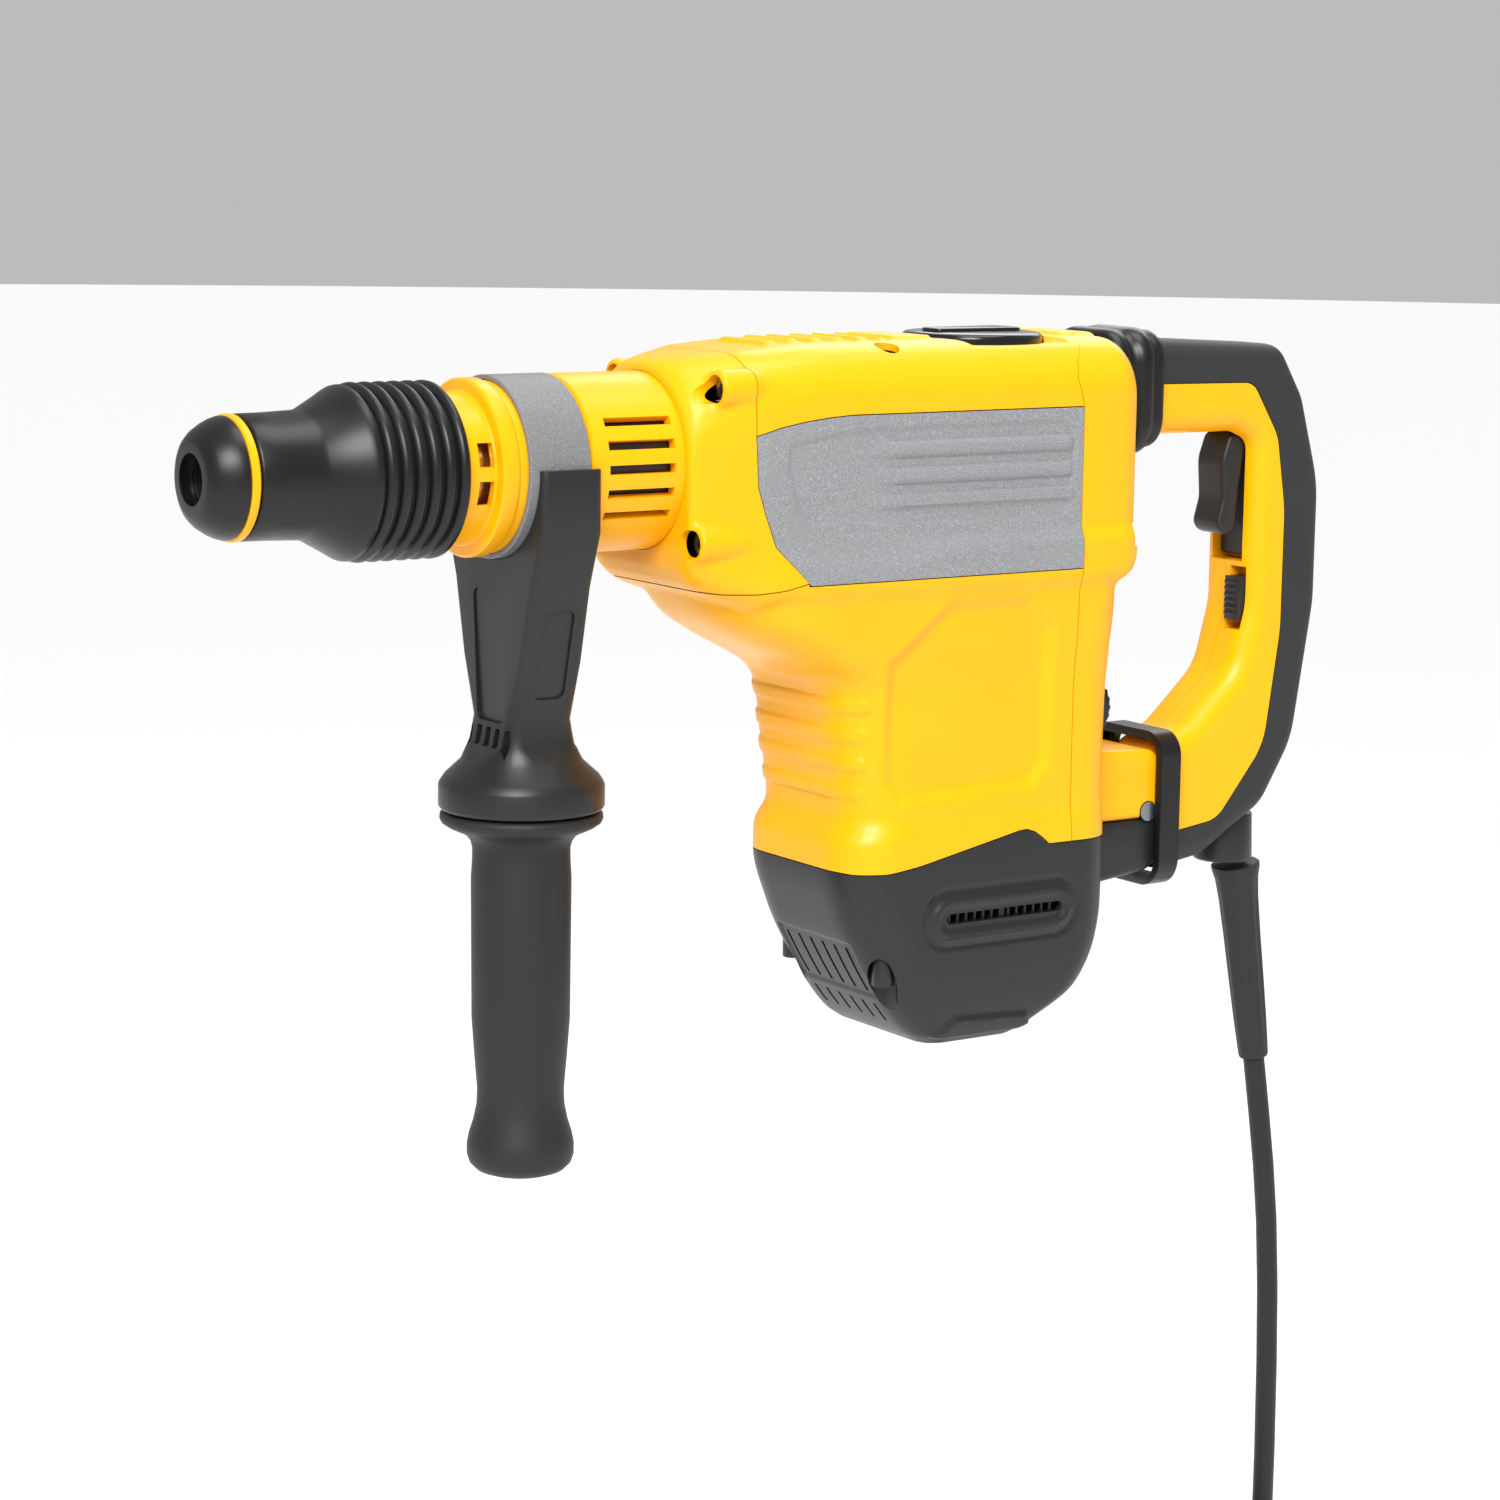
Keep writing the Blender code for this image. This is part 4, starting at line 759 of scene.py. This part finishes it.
inner = [(-38.7, 30.4), (-38.7, 28.2), (-72, 28.2), (-76, 25.5), (-95, 19), (-115.4, 19)]
sleeve = turned("chuck_sleeve_rubber", outer + inner, count=128, loop=True)
dress(smooth(sleeve, 40), deep_rubber, "sleeve", ("chuck_sleeve",))
cap_line = [(-132, 9.2), (-132, 12.4), (-131.8, 13.4), (-130.6, 15.8), (-128.6, 17.8), (-125.2, 19.9),
            (-122.8, 21), (-120.4, 21.7), (-119.6, 21.7), (-119.3, 21.2), (-119.3, 14.9), (-126.3, 14.9),
            (-126.3, 10.6), (-130, 10.2), (-131, 9.2)]
nose = turned("nose_dust_cap", cap_line, count=128, loop=True)
dress(smooth(nose, 40), deep_rubber, "spindle", ("nose_cap",))
ring_line = [(-119, 15.5), (-119, 21.6), (-118.4, 22.3), (-116.4, 22.3), (-115.8, 21.6), (-115.8, 15.5)]
lock_ring = turned("chuck_lock_ring", ring_line, count=128, loop=True)
dress(smooth(lock_ring, 30), yellow_nylon, "spindle", ("chuck_ring",))

# -------------------------------- side handle
# A grey nylon strap grips the collar. The black saddle below it carries a long bolt, and the rubber
# grip on that bolt draws the strap tight when it is screwed up.
grey_nylon = moulded("grey_strap_nylon", srgb(112, 113, 115), 0.48, 0.15, 2600, 0.02,
                     specks=srgb(138, 139, 141))
strap_line = [(-16, 31.5), (-16, 32.8), (-15.6, 33.2), (8.6, 33.2), (9, 32.8), (9, 31.5)]
strap = turned("clamp_strap_band", strap_line, count=128, loop=True)
cut(strap, rod("strap_hole", -60, -20, 3.6, "Z"))
dress(smooth(strap, 30), grey_nylon, "side_handle", ("clamp_strap",))
# height, half length, half width
sections = [(1, 12.5, 36), (-22, 12.5, 36), (-42, 12.5, 29), (-70, 13, 22), (-92, 13.4, 17),
            (-101, 15, 17.5), (-108, 22, 23), (-113.6, 28.6, 28.6), (-116, 30.2, 30.2),
            (-117.2, 30.7, 30.7), (-124.8, 30.7, 30.7), (-126, 29.9, 29.9)]
rings = []
for height, hx, hy in sections:
    radius = min(hx, hy) - 0.01 if height < -105 else (3 if height > -80 else 7)
    rings.append([(a, b, height) for a, b in arc_rectangle((-hx, -hy), (hx, hy), [radius] * 4, 12)])
bracket = skin("handle_saddle", rings)
soften(bracket, 0.8, 3, 28)
cut(bracket, rod("saddle_bore", -60, 60, 33.5, "X", count=128), rod("bolt_bore", -140, -20, 5.4, "Z"))
# A long sunk panel on the front and the back, a shallow one on each side, and a fan of short webs.
for face in (-1, 1):
    outline = rounded([(-14, -45, 3), (14, -45, 3), (9.5, -93, 3), (-9.5, -93, 3)])
    cut(bracket, slab(f"saddle_panel_{face}", outline, *reach_out(face, 12, 15), "X"))
side_lean = math.degrees(math.atan2(29 - 17, 50))  # the saddle's sides draw in from 29 to 17
for side in (-1, 1):
    outline = rounded([(-6.5, -50, 3), (6.5, -50, 3), (6.5, -84, 3), (-6.5, -84, 3)])
    window = slab(f"saddle_side_{side}", outline, -1, 1)
    window.data.transform(Matrix.Translation(at(0, 22.9 * side, -67)) @ turn(-side_lean * side, "X")
                          @ Matrix.Translation(-at(0, 0, -67)))
    cut(bracket, window)
WEB_PITCH = 6.4
for k in range(5):
    for face in (-1, 1):
        cut(bracket, block(f"web_gap_{k}_{face}", (14.2 * face - 1.7, -14.6 + WEB_PITCH * k, -107),
                           (14.2 * face + 1.7, -11.2 + WEB_PITCH * k, -95)))
dress(smooth(bracket, 30), black_nylon, "side_handle", ("handle_bracket",))
grip_line = [(-146.4, 5.4), (-126.6, 5.4), (-126.6, 27.5), (-127.2, 29.2), (-128, 30.0), (-129.6, 30.2),
             (-131, 29.6), (-132.4, 27.6), (-133.5, 25.2), (-134.6, 22.6), (-136, 20.4), (-138.2, 18.8),
             (-141, 18.1), (-146, 18.2), (-152, 18.6), (-205, 18.3), (-220, 17.2), (-232, 16.2),
             (-238, 16.4), (-244, 17.6), (-249, 19.2), (-253, 20), (-257, 20), (-260, 19), (-262.4, 16.6),
             (-263.7, 13), (-264, 9), (-264, 0)]
grip = turned("side_grip_rubber", [(-146.4, 0)] + grip_line, "Z", count=96)
dress(smooth(grip, 40), black_rubber, "side_grip", ("side_grip",))

# -------------------------------- D-handle
# Two yellow nylon shells joined round the switch, with a black rubber cover moulded over their
# back. It rides on the damper at the top and a pivot pin at the bottom.
LOOP = [(268, 41.5, 3), (352, 37, 10), (365, 16, 24), (375.5, -20, 60), (375.5, -70, 60), (366, -128, 40),
        (350, -154, 20), (318, -173, 20), (291, -177, 4), (291, -125, 3), (306, -117.5, 16), (330, -96, 24),
        (337, -70, 30), (337, -2, 6), (328, 2, 6), (268, 2, 3)]
HALF_THICK, EDGE = 16.5, 9.0


def drawn_in(corners, inset):
    """A clockwise outline's (a, b, radius) corners moved inwards, with the arcs kept parallel."""
    moved = []
    for k, (a, b, radius) in enumerate(corners):
        here = Vector((a, b))
        into = (here - Vector(corners[k - 1][:2])).normalized()
        out = (Vector(corners[(k + 1) % len(corners)][:2]) - here).normalized()
        normal_in, normal_out = Vector((into.y, -into.x)), Vector((out.y, -out.x))
        mitre = (normal_in + normal_out) * (inset / (1 + normal_in.dot(normal_out)))
        convex = into.x * out.y - into.y * out.x < 0
        moved.append((a + mitre.x, b + mitre.y, max(radius - inset, 0.8) if convex else radius + inset))
    return moved


rings = []
for side, angles in ((-1, range(0, 91, 10)), (1, range(90, -1, -10))):
    for angle in angles:
        turned_by = math.radians(angle)
        inset, depth = EDGE * (1 - math.sin(turned_by)), EDGE * math.cos(turned_by)
        outline = rounded(drawn_in(LOOP, inset), 9)
        rings.append([(a, side * (HALF_THICK - EDGE + depth), b) for a, b in outline])
loop_form = fused("loop_form", [skin("loop_raw", rings)], 1.1, 4)
GAP = 0.35  # between the shells and the rubber
split = [(255, 23, 0), (334, 22, 8), (348, 0, 20), (353, -30, 60), (353, -80, 60), (346, -128, 30),
         (322, -157, 14), (285, -162, 0)]
beyond = [(a + GAP * (0 < n < 6), b + GAP * (1 if n < 3 else -1 if n > 4 else 0), r)
          for n, (a, b, r) in enumerate(split)]
yellow_zone = rounded(split + [(285, -100, 0), (320, -100, 0), (320, -20, 0), (255, -20, 0)], 10)
cover_zone = rounded(beyond + [(285, -230, 0), (430, -230, 0), (430, 90, 0), (255, 90, 0)], 10)
damper_core = dict(low=262, high=300, radius=12.2, origin=(0, 0, 24), count=48)
for name, low, high in (("left", -40, -0.12), ("right", 0.12, 40)):
    shell = cut(twin(loop_form, f"handle_shell_moulding_{name}"),
                slab("shell_zone", yellow_zone, low, high), operation="INTERSECT")
    mouth = rounded([(322, 4, 2), (340, 4, 2), (340, -46, 2), (322, -46, 2)])
    cut(shell, slab("trigger_mouth", mouth, -9.2, 9.2),
        block("switch_pocket", (331.5, -9.3, -52), (347.5, 9.3, 5)),
        block("slider_slot", (325, -11.4, -80), (344, -2.6, -54)), rod("damper_bore", **damper_core))
    dress(smooth(shell, 40), yellow_nylon, "d_handle", (f"handle_shell_{name}",))
cover = cut(twin(loop_form, "handle_cover_rubber"), slab("cover_zone", cover_zone, -40, 40),
            operation="INTERSECT")
cut(cover, rod("cover_bore", **damper_core), rod("gland_seat", -190, -157.5, 12.9, "Z", (340, 0, 0), 64))
tongue_outline = rounded([(275, -142, 6), (290, -142, 2), (290, -163, 0), (300, -163, 0), (300, -169, 0),
                          (275, -169, 6)])
tongue = slab("pivot_tongue", tongue_outline, -7, 7)
cut(cover, tongue, operation="UNION")
cut(cover, rod("tongue_bore", -12, 12, 4.3, "Y", PIVOT))
cover_rubber = moulded("handle_cover_finish", srgb(38, 39, 40), 0.6, 0.2, 1100, 0.05)
dress(smooth(cover, 40), cover_rubber, "d_handle", ("handle_cover",))
bpy.data.meshes.remove(loop_form.data)

# -------------------------------- trigger and lock slider
# The trigger is a curved black nylon lever for two fingers. The lock slider below it is a small
# ribbed button that keeps the trigger drawn.
lever_line = rounded([(340, 1, 2), (330, 1, 4), (326, -10, 14), (327.2, -26, 12), (323.6, -38.4, 5),
                      (334, -42.2, 4), (336, -20, 8)], 8)
trigger = slab("trigger_lever", lever_line, -8.5, 8.5)
soften(trigger, 2.4, 5, 40)
dress(trigger, black_nylon, "trigger", ("trigger",))
slider = block("lock_slider_button", (334, -11, -76), (343, -3, -58))
ridges = [rod(f"slider_ridge_{k}", -10.6, -3.4, 1.0, "Y", (334.2, 0, -60.5 - 2.6 * k), 20)
          for k in range(6)]
cut(slider, *ridges, operation="UNION")
soften(slider, 0.35, 2, 40)
dress(slider, black_nylon, "slider", ("lock_slider",))

# -------------------------------- rubber joints
# Folded rubber bellows keep dust out of the handle's damper, and a plain rubber gaiter covers the
# joint of the lower arm.
rings = []
for station, grow in ((258, 1), (258.8, 2.6), (260, 4.2), (262, 5), (264.6, 5), (266, 4), (267.2, 2.4),
                      (268.4, 2.4), (269.8, 4.0), (271.6, 5.4), (274, 5.9), (276.4, 5.4), (277.6, 3.8),
                      (278.6, 2.4), (280, 2.6), (281.6, 3.4), (283.2, 3.2), (284, 2.2)):
    radii = [11 + grow / 2] * 4
    fold = arc_rectangle((-17.5 - grow, 0.3 - grow), (17.5 + grow, 42.5 + grow / 2), radii, 12)
    rings.append([(station, a, b) for a, b in fold])
for station in (284, 258):
    rings.append([(station, a, b) for a, b in arc_rectangle((-17, 1.0), (17, 42.3), [9] * 4, 12)])
bellows = skin("damper_bellows", rings, loop=True)
dress(smooth(bellows, 50), deep_rubber, "casing", ("handle_bellows",))
rings = []
for station, grow in ((286, -0.7), (286.6, 0), (296.4, 0), (297, -0.7)):
    outside = arc_rectangle((-23 - grow, -182 - grow), (23 + grow, -118 + grow), [10, 10, 12, 12], 12)
    rings.append([(station, a, b) for a, b in outside])
for station, half in ((297, 17.1), (293.5, 17.1), (292.5, 19.7), (286, 19.7)):
    inside = arc_rectangle((-half, -178.5), (half, -121.5), [6, 6, 7, 7], 12)
    rings.append([(station, a, b) for a, b in inside])
gaiter = skin("lower_arm_gaiter", rings, loop=True)
dress(smooth(gaiter, 40), deep_rubber, "casing", ("lower_gaiter",))

# -------------------------------- controls
# The mode selector is a wide glossy dial with a raised finger bar. The speed wheel is a notched
# nylon disc whose rim stands out at the casing's rear edge.
glossy_nylon = moulded("glossy_black_nylon", srgb(16, 17, 18), 0.2, 0.05, 1500, 0.05)
DIAL_AXIS = (202.5, 0, 0)
dial_line = [(36, 0), (36, 27), (42.6, 27.5), (43.6, 27.2), (44.3, 26.4), (44.6, 25.2), (44.9, 22.5),
             (45, 0)]
dial = turned("selector_dial", dial_line, "Z", DIAL_AXIS, 96)
bar_outline = rounded([(181.5, -6, 3), (221.5, -9, 4), (221.5, 9, 4), (181.5, 6, 3)])
bar = slab("selector_bar", bar_outline, 43.5, 46.2, "Z")
soften(bar, 0.7, 3, 50)
cut(dial, bar, rod("selector_stem", 24, 37, 5, "Z", DIAL_AXIS), operation="UNION")
dress(smooth(dial, 35), glossy_nylon, "selector", ("mode_selector",))
NOTCHES = 24
rim = []
for k in range(2 * NOTCHES):
    low = k % 2
    angle = 2 * math.pi * (k // 2 + 0.27 * low) / NOTCHES
    notch = -1 if low else 1
    rim.append((242 + (13.7 + 0.35 * notch) * math.cos(angle),
                -104 + (13.4 + 0.3 * notch) * math.sin(angle)))
wheel = slab("speed_wheel_disc", rim, -26.5, -17.5)
cut(wheel, rod("wheel_stub", -20, -12, 4, "Y", (242, 0, -104)), operation="UNION")
soften(wheel, 0.25, 2, 40)
dress(wheel, glossy_nylon, "wheel", ("speed_wheel",))

# -------------------------------- plug
# A moulded two-pin plug on the cord's far end, lying flat on the coil with its blades pointing out.
plug_foot = PLUG_Z - 10
shape = [(249.5, -10, 4), (281.5, -10, 4), (295.5, -4, 3), (295.5, 8, 3), (281.5, 14, 4), (249.5, 14, 4)]
plug = slab("mains_plug", rounded(shape), plug_foot, plug_foot + 20, "Z")
soften(plug, 3, 5, 40)
for k in range(4):
    for face in (-10.4, 14.4):
        cut(plug, block(f"plug_groove_{k}_{face}", (256 + 4.5 * k, face - 1.2, plug_foot + 4),
                        (258 + 4.5 * k, face + 1.2, plug_foot + 16)))
dress(smooth(plug, 35), black_rubber, "d_handle", ("plug",))
brass = moulded("plated_brass", srgb(214, 190, 140), 0.25, 0.05, 900, 0.06, metallic=1.0)
for name, blade_y in (("left", -4.3), ("right", 8.3)):
    blade = block(f"plug_blade_{name}", (232, blade_y - 0.8, plug_foot + 7),
                  (251, blade_y + 0.8, plug_foot + 13.4))
    cut(blade, rod(f"blade_hole_{name}", -15, 20, 1.4, "Y", (236, 0, plug_foot + 10.2), 20))
    dress(soften(blade, 0.3, 2, 40), brass, "d_handle")

# -------------------------------- screws
# Four hexagon-socket screws of zinc-plated steel hold the front cover, deep in their bosses, and two
# smaller ones hold the upper housing.
plated_steel = moulded("plated_steel", srgb(150, 152, 156), 0.32, 0.08, 900, 0.08, metallic=1.0)
for k, (sy, sz, face) in enumerate(SCREWS):
    head, shank = face + 3.3, face + 7.9
    profile = [(head, 0), (head, 4.2), (head + 0.5, 4.7), (shank, 4.7), (shank, 2.5), (70.5, 2.5),
               (70.5, 0)]
    screw = turned(f"cover_screw_socket_{k + 1}", profile, "X", (0, sy, sz), 48)
    cut(screw, rod("hex_socket", head - 2, head + 2.6, 2.4, "X", (0, sy, sz), 6))
    dress(smooth(screw, 30), plated_steel, "casing", (f"cover_screw_{k + 1}",))
for side in (-1, 1):
    screw = turned(f"deck_screw_{side + 2}", [(33, 0), (33, 4.2), (35.6, 4.2), (36, 3.8), (36, 0)], "Z",
                   (140, 30 * side, 0), 40)
    cut(screw, rod("deck_socket", 34.4, 37, 2.0, "Z", (140, 30 * side, 0), 6))
    dress(smooth(screw, 30), plated_steel, "casing")

# -------------------------------- mechanism
# The inner parts keep their machined form: ground steel shafts and gears, blackened laminations and
# springs, cast aluminium frames, copper, a brass bush and carbon brushes.
finishes = {
    "steel": plated_steel,
    "dark_steel": moulded("blackened_steel", srgb(70, 71, 74), 0.4, 0.1, 900, 0.1, metallic=1.0),
    "aluminium": moulded("cast_aluminium", srgb(170, 172, 175), 0.45, 0.2, 700, 0.06, metallic=1.0),
    "copper": moulded("drawn_copper", srgb(200, 128, 90), 0.3, 0.08, 900, 0.08, metallic=1.0),
    "brass": brass,
    "carbon": moulded("pressed_carbon", srgb(44, 44, 46), 0.55, 0.2, 1200, 0.1),
    "yellow_plastic": yellow_nylon, "black_plastic": black_nylon, "black_rubber": black_rubber,
    "grey_panel": grey_fleck, "grey_strap": grey_nylon}
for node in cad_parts.values():
    for holder in node.material_slots:
        base = holder.material.name.split(".")[0] if holder.material else ""
        for key in sorted(finishes, key=len, reverse=True):
            if key in base:
                holder.material = finishes[key]
                break
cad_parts["barrel_frame"].material_slots[0].material = finishes["dark_steel"]

# -------------------------------- close
bpy.context.view_layer.update()
